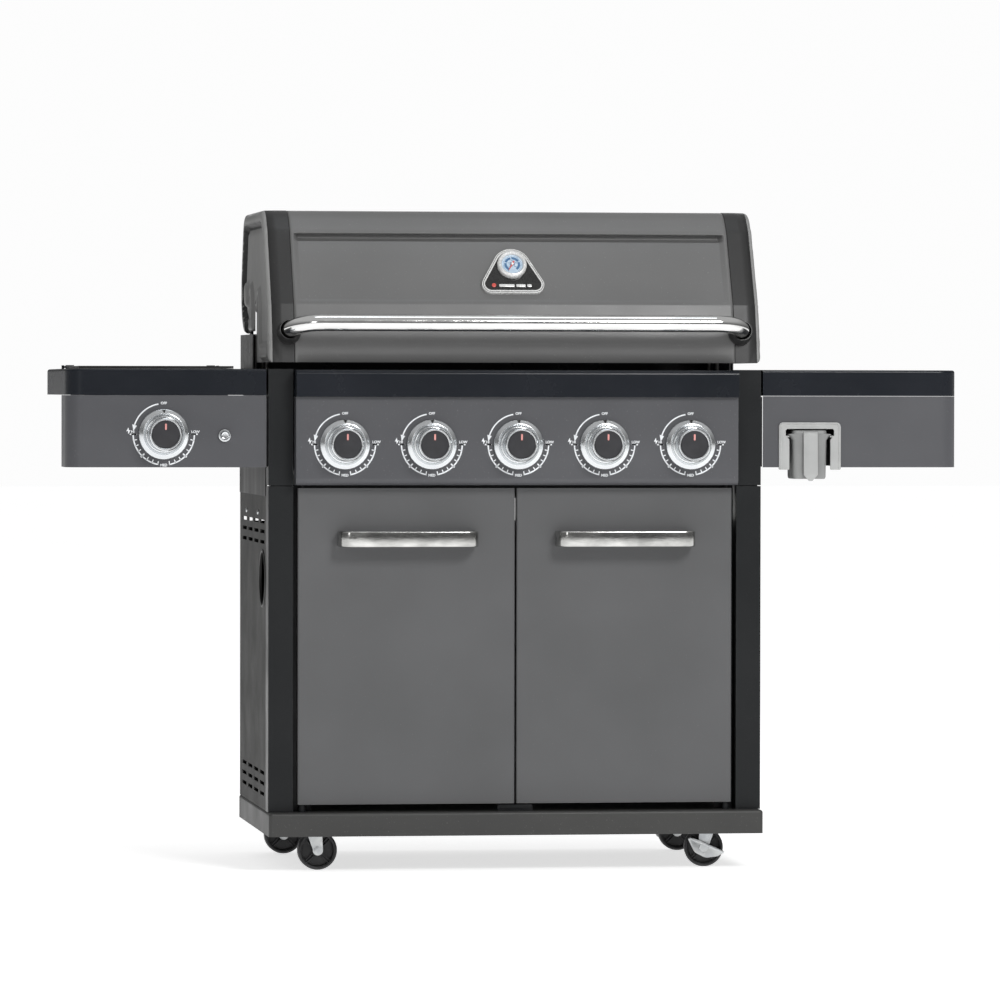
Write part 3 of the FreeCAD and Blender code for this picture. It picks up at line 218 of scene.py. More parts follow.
look("pipe_steel", (0.40, 0.39, 0.37), (0.56, 0.55, 0.53), (0.28, 0.48), metallic=1.0, patch=16,
     grain=500, lift=0.08, stretch=(1, 1, 6))
look("heat_steel", (0.30, 0.25, 0.20), (0.52, 0.50, 0.48), (0.3, 0.5), metallic=1.0, patch=9,
     grain=400, lift=0.10, stretch=(5, 1, 1))
look("cast_iron", (0.014, 0.014, 0.014), (0.032, 0.031, 0.030), (0.42, 0.66), patch=30, grain=420,
     lift=0.5, specks=(160, (0.07, 0.05, 0.04)), wear=(0.12, 0.115, 0.11))
look("fire_enamel", (0.014, 0.014, 0.015), (0.026, 0.026, 0.027), (0.22, 0.5), patch=11, grain=700,
     lift=0.10, specks=(90, (0.055, 0.05, 0.045)), wear=(0.09, 0.085, 0.08), coat=0.15)
look("galvanised", (0.48, 0.50, 0.52), (0.64, 0.65, 0.66), (0.3, 0.46), metallic=1.0, patch=12,
     grain=300, spangle=55.0)
look("burner_alloy", (0.34, 0.33, 0.32), (0.5, 0.49, 0.48), (0.4, 0.6), metallic=1.0, patch=25,
     grain=600, lift=0.3)
look("badge_black", (0.009, 0.009, 0.009), (0.014, 0.014, 0.014), (0.2, 0.34), patch=60, grain=1500,
     lift=0.03, coat=0.3)
look("badge_bright", (0.76, 0.76, 0.75), (0.84, 0.84, 0.83), (0.22, 0.30), metallic=0.35, patch=60,
     grain=400, lift=0.006)
look("dial_face", (0.40, 0.53, 0.66), (0.62, 0.73, 0.83), (0.3, 0.42), patch=120, grain=1500,
     lift=0.02)
look("dial_ink", (0.04, 0.12, 0.26), (0.07, 0.18, 0.34), (0.4, 0.5), patch=90, grain=1500,
     lift=0.03)
look("needle_red", (0.55, 0.06, 0.045), (0.68, 0.10, 0.08), (0.3, 0.42), patch=120, grain=1500,
     lift=0.03)
look("mark_red", (0.62, 0.24, 0.22), (0.74, 0.34, 0.31), (0.4, 0.52), patch=90, grain=1500,
     lift=0.04)
look("print_white", (0.74, 0.76, 0.78), (0.86, 0.88, 0.90), (0.42, 0.56), patch=90, grain=1800)
# Painted shade: a darker copy of the cup's silver for its recessed body.
look("cup_silver_shaded", (0.20, 0.203, 0.20), (0.26, 0.263, 0.26), (0.4, 0.52), patch=14,
     lift=0.06, specks=(420, (0.4, 0.4, 0.4)), wear=(0.5, 0.5, 0.49))
look("cup_silver", (0.36, 0.365, 0.36), (0.44, 0.445, 0.44), (0.34, 0.46), patch=14,
     lift=0.06, specks=(420, (0.55, 0.55, 0.54)), wear=(0.62, 0.62, 0.61))


# ---- making pieces ---------------------------------------

def box_mm(name):
    """A node's lowest and highest corners in millimetres."""
    return [Vector(corner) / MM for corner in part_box(name)]


def headings(path):
    """Each point of an open path, with the direction in which the path runs there."""
    for index, point in enumerate(path):
        before, after = Vector(path[max(index - 1, 0)]), Vector(path[min(index + 1, len(path) - 1)])
        yield point, (after - before).normalized()


def bridge(bm, first, second, closed=True):
    """Quads between two rows of the same count, or triangles where one row is a single point."""
    count = max(len(first), len(second))
    for here in range(count if closed else count - 1):
        after = (here + 1) % count
        if len(first) == 1:
            bm.faces.new((first[0], second[after], second[here]))
        elif len(second) == 1:
            bm.faces.new((first[here], first[after], second[0]))
        else:
            bm.faces.new((first[here], first[after], second[after], second[here]))


def lathe(bm, profile, count=64, loop=False):
    """Turn (radius, height) points round +Z."""
    rings = []
    for radius, height in profile:
        if radius < 1e-4:
            rings.append([bm.verts.new((0, 0, height))])
            continue
        angles = [math.tau * step / count for step in range(count)]
        rings.append([bm.verts.new((radius * math.cos(turn), radius * math.sin(turn), height))
                      for turn in angles])
    for first, second in zip(rings, rings[1:] + (rings[:1] if loop else [])):
        bridge(bm, first, second)


def prism(bm, points, low, high, soften=0.0):
    """An outline raised from low to high, with its upper rim softened."""
    floor = [bm.verts.new((x, y, low)) for x, y in points]
    roof = [bm.verts.new((x, y, high)) for x, y in points]
    bridge(bm, floor, roof)
    bm.faces.new(floor[::-1])
    top = bm.faces.new(roof)
    if soften:
        bmesh.ops.bevel(bm, geom=list(top.edges), offset=soften, segments=2, profile=0.6,
                        affect="EDGES")


def ribbon(bm, rows, closed_across=False, closed_along=False):
    """A sheet through rows of points."""
    made = [[bm.verts.new(point) for point in row] for row in rows]
    for first, second in zip(made, made[1:] + (made[:1] if closed_along else [])):
        bridge(bm, first, second, closed_across)
    return made


def rounded(points, radii, steps=6, closed=False):
    """A polyline whose corners are replaced by arcs; a radius of 0 keeps a corner."""
    result = []
    count = len(points)
    for index, (point, radius) in enumerate(zip(points, radii)):
        here = Vector(point)
        if radius <= 0 or (not closed and index in (0, count - 1)):
            result.append(tuple(here))
            continue
        before = (Vector(points[index - 1]) - here).normalized()
        after = (Vector(points[(index + 1) % count]) - here).normalized()
        half = before.angle(after) / 2
        reach = radius / math.tan(half)
        centre = here + (before + after).normalized() * (radius / math.sin(half))
        start, end = here + before * reach - centre, here + after * reach - centre
        sweep = math.pi - 2 * half
        for step in range(steps + 1):
            share = step / steps
            weight = math.sin((1 - share) * sweep) / math.sin(sweep)
            other = math.sin(share * sweep) / math.sin(sweep)
            result.append(tuple(centre + start * weight + end * other))
    return result


def rounded_rectangle(half_x, half_y, radius, steps=5):
    corners = [(-half_x, -half_y), (half_x, -half_y), (half_x, half_y), (-half_x, half_y)]
    return rounded(corners, [radius] * 4, steps, closed=True)


def shifted(points, across, up):
    """An outline moved in its plane."""
    return [(x + across, y + up) for x, y in points]


def new_object(name, data):
    """An object of its own in the scene."""
    made = bpy.data.objects.new(name, data)
    bpy.context.scene.collection.objects.link(made)
    return made


def absorb(bm, part):
    """Move one bmesh's geometry into another."""
    carrier = bpy.data.meshes.new("carrier")
    part.to_mesh(carrier)
    part.free()
    bm.from_mesh(carrier)
    bpy.data.meshes.remove(carrier)


def make_piece(name, bm, finish_name, body, replaces=(), place=Matrix(), crease=32,
               skin=0.0, soften=0.0):
    """Turn millimetre geometry into an object that rides on a body of the frame."""
    bmesh.ops.recalc_face_normals(bm, faces=bm.faces)
    bm.transform(place @ Matrix.Scale(MM, 4))
    mesh = bpy.data.meshes.new(name)
    bm.to_mesh(mesh)
    bm.free()
    mesh.shade_smooth()
    mesh.set_sharp_from_angle(angle=math.radians(crease))
    mesh.materials.append(LOOKS[finish_name])
    made = new_object(name, mesh)
    if skin:
        thick = made.modifiers.new("skin", "SOLIDIFY")
        thick.thickness = skin * MM
        thick.offset = -1
    if soften:
        rim = made.modifiers.new("rim", "BEVEL")
        rim.width = soften * MM
        rim.segments = 2
        rim.limit_method = "ANGLE"
    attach(made, body)
    if replaces:
        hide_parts(*replaces)
    return made


def facing(place, normal_turn=math.pi / 2):
    """Local Z out of a front face, local Y up it; normal_turn is less on a face that leans back."""
    return Matrix.Translation(place) @ Matrix.Rotation(normal_turn, 4, "X")


# ---- lid -------------------------------------------------

# The lid's section: millimetres behind the front plane and above the floor, and corner radii.
LID_POINTS = [(0, 820), (4, 852), (21, 914), (86, 1036), (118, 1067), (415, 1067), (453, 964),
              (456, 934)]
LID_RADII = [0, 6, 7, 40, 50, 45, 30, 0]
HINGE = Vector(JOINTS["lid_hinge"]["pos_m"])
HINGE_YZ = ((HINGE.y - FRONT) / MM, HINGE.z / MM)
HINGE_REACH = 66


def hinge_arc(first, last, step=7.5):
    count = round((last - first) / step)
    return [(HINGE_YZ[0] + HINGE_REACH * math.cos(math.radians(first + step * number)),
             HINGE_YZ[1] - HINGE_REACH * math.sin(math.radians(first + step * number)))
            for number in range(count + 1)]


def lid_point(x, pair):
    """A point of the lid's section, behind the front plane and above the floor, at x."""
    return (x, FRONT / MM + pair[0], pair[1])


def facet(height, inward=0.0):
    """A point on the leaning facet at a height, set back from it by inward."""
    (low_y, low_z), (high_y, high_z) = LID_POINTS[2], LID_POINTS[3]
    return (low_y + (high_y - low_y) * (height - low_z) / (high_z - low_z) + inward, height)


def lid_section():
    """Pairs of section points: flush with the facet, and sunk where the face is pressed in."""
    outline = rounded(LID_POINTS, LID_RADII, 8)
    below = [point for point in outline if point[1] < 918 and point[0] < 30]
    above = [point for point in outline if point[1] > 1030.3 or point[0] > 90]
    sunk = [(919.5, 919.2, 0.0), (921.0, 921.0, 1.2), (923.5, 923.0, 1.7), (965.0, 964.0, 4.0),
            (1016.5, 1015.0, 6.4), (1018.6, 1017.0, 7.6), (1019.6, 1018.0, 13.0),
            (1022.6, 1021.6, 16.0), (1028.0, 1027.6, 15.0), (1029.2, 1029.0, 2.0),
            (1030.0, 1030.0, 0.0)]
    pairs = [(point, point) for point in below]
    pairs += [(facet(flush), facet(deep, inward)) for flush, deep, inward in sunk]
    return pairs + [(point, point) for point in above + hinge_arc(7.5, 45)]


def build_lid_panel():
    half = LID_SPLIT / MM
    stations = [(half, 0.0), (half - 4.5, 0.0), (half - 6.5, 0.12), (half - 11.5, 0.88),
                (half - 13.5, 1.0), (half - 60, 1.0), (half - 150, 1.0), (half - 260, 1.0),
                (0, 1.0)]
    columns = [(-x, share) for x, share in stations] + [(x, share) for x, share in stations[-2::-1]]
    section = lid_section()
    rows = []
    for x, share in columns:
        rows.append([lid_point(x, (flush[0] + (deep[0] - flush[0]) * share,
                                   flush[1] + (deep[1] - flush[1]) * share))
                     for flush, deep in section])
    bm = bmesh.new()
    ribbon(bm, rows)
    make_piece("lid_panel_skin", bm, "lid_grey", "lid", ("lid_panel",), crease=24,
               skin=1.6)


def distance_to(point, line):
    """Shortest distance from a point to a polyline."""
    best = 1e9
    for first, second in zip(line, line[1:]):
        run = (second[0] - first[0], second[1] - first[1])
        length = run[0] ** 2 + run[1] ** 2
        share = 0.0
        if length > 0:
            share = ((point[0] - first[0]) * run[0] + (point[1] - first[1]) * run[1]) / length
        share = min(1.0, max(0.0, share))
        gap = math.hypot(point[0] - first[0] - share * run[0], point[1] - first[1] - share * run[1])
        best = min(best, gap)
    return best


def smooth(share):
    share = min(1.0, max(0.0, share))
    return share * share * (3 - 2 * share)


END_ROUND = 6.5           # radius of the ends' outer rim
GROOVE_SHADE = (17.5, 27)       # where the groove's painted shade lies, in from the arch
GROOVE_SHADE_FROM = 96          # and how far behind the front plane it begins
END_BEADS = [
    [(226, 908), (212, 936), (192, 936), (182, 918), (177, 852), (168, 843), (58, 843)],
    [(160, 831), (58, 831)],
    [(304, 896), (304, 930), (322, 946), (340, 936)],
    [(300, 889), (348, 889)],
    [(300, 879), (348, 879)],
]


def end_depth(point, arch, border):
    """How far the end's pressed face is set in from its outermost plane."""
    from_arch = distance_to(point, arch)
    from_edge = distance_to(point, border)
    depth = 9.0 * (smooth((from_arch - 18) / 5) - 0.3 * smooth((from_arch - 26) / 8))
    bead = min(distance_to(point, line) for line in END_BEADS)
    depth -= 4.4 * smooth((8.0 - bead) / 3.5)
    boss = math.hypot(point[0] - HINGE_YZ[0], point[1] - HINGE_YZ[1])
    depth *= smooth((boss - 17) / 6)
    if from_edge < END_ROUND:
        depth = max(depth, END_ROUND - math.sqrt(END_ROUND ** 2 - (END_ROUND - from_edge) ** 2))
    return max(depth, 0.0)


def pressed_sheet(border, depth, spacing):
    """Triangles over a closed outline, each point set in by depth(point)."""
    count = len(border)
    points = list(border)
    low = [min(point[axis] for point in border) for axis in (0, 1)]
    high = [max(point[axis] for point in border) for axis in (0, 1)]
    loop = list(border) + [border[0]]
    for inset in (1.0, 2.6, 4.6):
        for index in range(count):
            before, after = Vector(border[index - 1]), Vector(border[(index + 1) % count])
            along = (after - before).normalized()
            moved = Vector(border[index]) + Vector((along.y, -along.x)) * inset
            if abs(distance_to(moved, loop) - inset) < 0.15:
                points.append(tuple(moved))
    for row in range(1, int((high[1] - low[1]) / spacing)):
        for column in range(1, int((high[0] - low[0]) / spacing)):
            point = (low[0] + column * spacing, low[1] + row * spacing)
            if distance_to(point, loop) > 6.2:
                points.append(point)
    edges = [(index, (index + 1) % count) for index in range(count)]
    flat, _, faces, *_ = delaunay_2d_cdt([Vector(point) for point in points], edges, [], 1, 1e-4)
    return [(tuple(point), depth(tuple(point))) for point in flat], faces


def build_lid_ends():
    arch = rounded(LID_POINTS, LID_RADII, 7)
    legs = [(HINGE_YZ[0], HINGE_YZ[1] - HINGE_REACH + 0.7), (352, 872), (286, 872), (286, 915),
            (271, 925), (256, 915), (256, 820), (130, 820)]
    fine_legs = []
    for first, second in zip(legs, legs[1:] + [arch[0]]):
        parts = max(1, round(math.dist(first, second) / 12))
        fine_legs += [(first[0] + (second[0] - first[0]) * k / parts,
                       first[1] + (second[1] - first[1]) * k / parts) for k in range(parts)]
    outer = arch + hinge_arc(7.5, 75)
    border = outer + fine_legs
    loop = border + [border[0]]
    sheet, faces = pressed_sheet(border, lambda point: end_depth(point, outer, loop), 4.0)
    band_end = LID_END / MM - END_ROUND
    band_line = [point for point in arch if not (point[0] > 410 and point[1] < 962)]
    band_line.insert(0, (1.0, 820.0))
    for side, word in ((-1, "left"), (1, "right")):
        replaced = (f"lid_end_{word}",)
        bm = bmesh.new()
        placed = [bm.verts.new(lid_point(side * (LID_END / MM - depth), point))
                  for point, depth in sheet]
        for face in faces:
            made = bm.faces.new([placed[index] for index in face])
            middle = sum((Vector(sheet[index][0]) for index in face), Vector((0, 0))) / len(face)
            # Painted shade: faces in the groove's band towards the rear take the second, darker material.
            made.material_index = int(middle.x > GROOVE_SHADE_FROM and
                                      GROOVE_SHADE[0] < distance_to(middle, outer) < GROOVE_SHADE[1])
        piece = make_piece(f"lid_end_face_{word}", bm, "lid_side", "lid", replaced,
                           crease=50, skin=1.2)
        piece.data.materials.append(LOOKS["groove_painted_shade"])
        bm = bmesh.new()
        stations = [LID_SPLIT / MM + 0.3, LID_SPLIT / MM + 1.0, LID_SPLIT / MM + 20, band_end]
        rises = [-0.5, 0.4, 0.4, 0.0]
        rows = []
        for x, rise in zip(stations, rises):
            rows.append([lid_point(side * x, (point[0] - along.y * rise, point[1] + along.x * rise))
                         for point, along in headings(band_line)])
        ribbon(bm, rows)
        make_piece(f"lid_end_band_{word}", bm, "lid_band", "lid", replaced,
                   crease=40, skin=1.4)


# ---- badge and thermometer -------------------------------

NEEDLE = JOINTS["gauge_turn"]
GAUGE_AT = Vector(NEEDLE["pos_m"])
GAUGE_OUT = -Vector(NEEDLE["axis"])
GAUGE_PLACE = facing(GAUGE_AT, math.pi / 2 - math.asin(GAUGE_OUT.z))
# The badge is drawn round three discs: centre and radius of each.
BADGE_DISCS = [((0.0, 0.0), 30.7), ((-35.0, -34.5), 16.0), ((35.0, -34.5), 16.0)]


def lid_piece(name, bm, finish_name, replaces=()):
    """A piece of the badge or the thermometer, made in the needle's frame."""
    make_piece(name, bm, finish_name, "lid", replaces, place=GAUGE_PLACE)


def badge_outline(inset, steps=12):
    """The rounded triangle round three discs, moved in by inset."""
    outline = []
    for index, (centre, radius) in enumerate(BADGE_DISCS):
        turns = []
        for other, order in ((BADGE_DISCS[index - 1], -1), (BADGE_DISCS[(index + 1) % 3], 1)):
            run = Vector(other[0]) - Vector(centre)
            swing = math.acos((radius - other[1]) / run.length)
            turns.append(math.atan2(run.y, run.x) - order * swing)
        start, end = turns
        while end < start:
            end += math.tau
        for step in range(steps + 1):
            turn = start + (end - start) * step / steps
            outline.append((centre[0] + (radius - inset) * math.cos(turn),
                            centre[1] + (radius - inset) * math.sin(turn)))
    return outline


def badge_ring(profile, loop=True):
    bm = bmesh.new()
    rows = [[(x, y, height) for x, y in badge_outline(inset)] for inset, height in profile]
    made = ribbon(bm, rows, closed_across=True, closed_along=loop)
    if not loop:
        bm.faces.new(made[-1])
    return bm


def build_badge():
    field = badge_ring([(0.6, -4.6), (0.6, 2.6), (1.0, 3.1), (6.0, 3.1), (14.0, 3.1)], loop=False)
    make_piece("badge_field", field, "badge_black", "lid", ("gauge_plate",),
               place=GAUGE_PLACE)
    outer = badge_ring([(0.0, -3.6), (0.0, 3.6), (0.4, 4.1), (1.2, 4.1), (1.7, 3.7), (1.7, 2.9),
                        (0.8, 2.0)])
    lid_piece("badge_rim_outer", outer, "badge_bright")
    inner_rim = badge_ring([(2.5, 2.9), (2.5, 4.0), (2.9, 4.4), (4.6, 4.4), (5.0, 4.0), (5.0, 2.9)])
    lid_piece("badge_rim_inner", inner_rim, "badge_bright")
    bars = bmesh.new()
    for low_x, high_x in ((-23, 2), (5, 20), (23, 30)):
        bar = rounded_rectangle((high_x - low_x) / 2, 2.4, 1.0)
        prism(bars, shifted(bar, (low_x + high_x) / 2, -37.0), 3.0, 3.7, 0.2)
    lid_piece("badge_bars", bars, "badge_bright")
    dot = bmesh.new()
    prism(dot, shifted(rounded_rectangle(3.6, 3.6, 3.5), -31.5, -36.5), 3.0, 3.8, 0.2)
    lid_piece("badge_dot", dot, "needle_red")


def text_mesh(bm, words, height, centre, low, high, bold=0.0):
    """Raised letters or numbers, height millimetres tall, centred on a point."""
    curve = bpy.data.curves.new("letters", "FONT")
    curve.body = words
    curve.size = height * 1.42
    curve.align_x = "CENTER"
    curve.align_y = "CENTER"
    curve.extrude = (high - low) / 2
    curve.offset = bold
    curve.resolution_u = 3
    holder = new_object("letters", curve)
    graph = bpy.context.evaluated_depsgraph_get()
    mesh = bpy.data.meshes.new_from_object(holder.evaluated_get(graph))
    mesh.transform(Matrix.Translation((centre[0], centre[1], (low + high) / 2)))
    bm.from_mesh(mesh)
    bpy.data.objects.remove(holder)
    bpy.data.meshes.remove(mesh)


def polar(radius, degrees):
    turn = math.radians(degrees)
    return radius * math.cos(turn), radius * math.sin(turn)


def arc_band(bm, inner, outer, first, last, low, high, steps):
    """A flat band of a ring between two angles."""
    angles = [first + (last - first) * step / steps for step in range(steps + 1)]
    points = [polar(outer, angle) for angle in angles]
    points += [polar(inner, angle) for angle in angles[::-1]]
    rows = [[(x, y, z) for x, y in points] for z in (low, high)]
    roof = ribbon(bm, rows, closed_across=True)[-1]
    count = steps + 1
    for index in range(steps):
        bm.faces.new((roof[index], roof[index + 1], roof[2 * count - 2 - index],
                      roof[2 * count - 1 - index]))


def build_gauge():
    bezel = bmesh.new()
    lathe(bezel, [(24, 2.8), (24, 7.4), (23.4, 9.2), (22.2, 10.9), (20.6, 11.8), (19.2, 11.8),
                  (18.2, 11.0), (17.4, 9.2), (17.0, 7.6), (15.5, 7.3), (15.5, 2.8)], 72, loop=True)
    lathe(bezel, [(0, -68), (2.6, -67), (3.0, -64), (3.0, -4), (0, -4)], 20)
    lid_piece("gauge_bezel", bezel, "badge_bright", ("gauge",))
    face = bmesh.new()
    lathe(face, [(0, 8.0), (9.0, 8.0), (15.2, 8.0), (16.9, 8.3), (16.9, 6.0), (0, 6.0)], 56)
    lid_piece("gauge_face", face, "dial_face")
    marks = bmesh.new()
    for first, last in ((-54, 20), (28, 94), (102, 162), (170, 238)):
        arc_band(marks, 9.0, 12.9, first, last, 8.0, 8.12, 14)
        arc_band(marks, 2.9, 4.2, first + 4, last - 4, 8.0, 8.12, 10)
    for number in range(30):
        start = 240 - 10 * number
        arc_band(marks, 13.6 if number % 5 else 12.9, 15.6, start - 1.1, start + 1.1, 8.0, 8.12, 1)
    for words, angle in (("50", 226), ("150", 156), ("250", 88), ("350", 20), ("450", -44)):
        text_mesh(marks, words, 2.0, polar(6.6, angle), 8.0, 8.12)
    lid_piece("gauge_marks", marks, "dial_ink")
    hub = bmesh.new()
    lathe(hub, [(0, 11.0), (1.6, 10.9), (2.2, 10.5), (2.3, 9.9), (2.3, 9.7), (0.9, 9.7),
                (0.9, 8.0)], 24)
    lid_piece("needle_hub", hub, "badge_bright")


# ---- knobs -----------------------------------------------

# A knob's profiles: (radius, height) in millimetres, from the panel outwards.
SKIRT = [(27.2, 1.0), (40.0, 0.8), (40.5, 1.6), (40.5, 4.2), (39.9, 5.6), (38.8, 6.4), (36.4, 7.6),
         (34.4, 9.3), (33.6, 9.7), (32.6, 9.7), (31.8, 9.2), (30.6, 8.6), (28.6, 8.4), (27.4, 8.9)]
GRIP = [(27.0, 6.0), (27.0, 12.4), (26.4, 13.4), (26.2, 30.0), (26.4, 33.5), (27.0, 35.6),
        (27.0, 38.6), (26.2, 40.6), (24.8, 41.8), (23.4, 41.8), (22.4, 41.0), (21.9, 39.6),
        (21.9, 38.0)]
CAP = [(21.8, 38.2), (21.8, 39.6), (21.2, 40.2), (12.0, 40.5), (0.0, 40.6)]


def build_knob(number, joint, cad_node, body):
    place = facing(Vector(JOINTS[joint]["pos_m"]))
    chrome = bmesh.new()
    lathe(chrome, SKIRT, 96)
    lathe(chrome, GRIP, 96)
    lathe(chrome, [(4.0, -30), (4.0, 36), (0, 36)], 24)
    lathe(chrome, [(0, -30), (4.0, -30)], 24)
    make_piece(f"knob_chrome_{number}", chrome, "knob_chrome", body, (cad_node,),
               place=place, crease=38)
    cap = bmesh.new()
    lathe(cap, CAP, 64)
    make_piece(f"knob_cap_{number}", cap, "cap_black", body, place=place)
    mark = bmesh.new()
    prism(mark, shifted(rounded_rectangle(1.5, 5.0, 1.4, 4), 0, 12.2), 40.1, 40.8, 0.15)
    make_piece(f"knob_mark_{number}", mark, "mark_red", body, place=place)
    pointer = bmesh.new()
    corners = [(-3.1, 39.4, 6.35), (3.1, 39.4, 6.35), (0, 33.9, 9.95)]
    top = [pointer.verts.new(corner) for corner in corners]
    foot = [pointer.verts.new((x, y, z - 0.7)) for x, y, z in corners]
    pointer.faces.new(top)
    pointer.faces.new(foot[::-1])
    bridge(pointer, foot, top)
    make_piece(f"knob_pointer_{number}", pointer, "plastic_black", body,
               place=place)


PRINT_IN, PRINT_OUT = 48.1, 50.3  # radii of the printed ring


def build_scale(number, joint):
    """The printed ring round a knob: off at the top, a spark mark, and a graduated half ring."""
    place = facing(Vector(JOINTS[joint]["pos_m"]))
    low, high = 0.04, 0.22
    ring = bmesh.new()
    arc_band(ring, PRINT_IN, PRINT_OUT, 100, 163, low, high, 22)
    arrow = [polar(49.2, 174), polar(53.0, 162.5), polar(45.4, 162.5)]
    prism(ring, arrow, low, high)
    arc_band(ring, PRINT_IN, PRINT_OUT, 180, 260, low, high, 28)
    arc_band(ring, PRINT_IN, PRINT_OUT, 280, 360, low, high, 28)
    for step in range(17):
        angle = 180 + 11.25 * step
        major = step in (0, 4, 12, 16)
        if step == 8:
            continue
        outer = 52.0 if major else 49.2
        width = 1.4 if major else 1.0
        arc_band(ring, 43.8, outer, angle - width, angle + width, low, high, 2)
    for side in (-1, 1):
        bar = [(side * 43.5, -1.1), (side * 54.5, -1.1), (side * 54.5, 1.1), (side * 43.5, 1.1)]
        prism(ring, bar[::side], low, high)
    for words, spot in (("OFF", (0, 49.8)), ("MED", (0, -49.6)), ("HI", (-49.8, 3.9)),
                        ("LOW", (50.8, 3.9))):
        text_mesh(ring, words, 4.0, spot, low, high, 0.18)
    spark = [(-59.5, 4.2), (-56.2, 10.4), (-55.2, 5.6), (-52.8, 6.2), (-56.2, -0.2), (-57.0, 4.6)]
    prism(ring, shifted(spark, -0.6, 0.6), low, high)
    make_piece(f"scale_{number}", ring, "print_white", "cart", place=place)


def build_knobs():
    for number in range(1, 6):
        build_knob(number, f"knob_{number}_turn", f"knob_{number}", f"knob_body_{number}")
        build_scale(number, f"knob_{number}_turn")
    build_knob(6, "side_knob_turn", "side_knob", "side_knob_body")
    build_scale(6, "side_knob_turn")


def build_igniter():
    low, high = (Vector(corner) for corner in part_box("igniter_button"))
    centre = Vector(((low.x + high.x) / 2, FRONT, (low.z + high.z) / 2))
    out = (FRONT - low.y) / MM
    button = bmesh.new()
    lathe(button, [(6.4, -18), (6.4, out - 0.8), (5.8, out), (4.6, out - 0.2), (3.8, out - 0.9),
                   (0, out - 1.1)], 40)
    make_piece("igniter_cap", button, "knob_chrome", "igniter", ("igniter_button",),
               place=facing(centre))
    ring = bmesh.new()
    lathe(ring, [(7.0, 0.2), (7.0, 2.6), (7.5, 3.1), (9.2, 3.0), (10.3, 2.2), (10.6, 0.8),
                 (10.6, 0.1)], 48)
    make_piece("igniter_ring", ring, "knob_chrome", "cart", place=facing(centre))


# ---- door handles, cup, trim -----------------------------

def build_door_handle(word, body):
    """A flat strip bent back to the door at both ends, with softened edges."""
    low, high = box_mm(f"door_handle_{word}")
    path = rounded([(low.x + 4, high.y), (low.x + 4, low.y + 4), (high.x - 4, low.y + 4),
                    (high.x - 4, high.y)], [0, 16, 16, 0], 10)
    path.insert(1, (low.x + 4, high.y - 10))
    path.insert(-1, (high.x - 4, high.y - 10))
    middle = (low.z + high.z) / 2
    section = rounded_rectangle(4, (high.z - low.z) / 2, 2.6, 4)
    rows = []
    for point, along in headings(path):
        rows.append([(point[0] - along.y * u, point[1] + along.x * u, middle + v)
                     for u, v in section])
    bm = bmesh.new()
    made = ribbon(bm, rows, closed_across=True)
    for end in (made[0], made[-1]):
        bm.faces.new(end)
    make_piece(f"grip_{word}", bm, "grip_chrome", body,
               (f"door_handle_{word}",), crease=45)


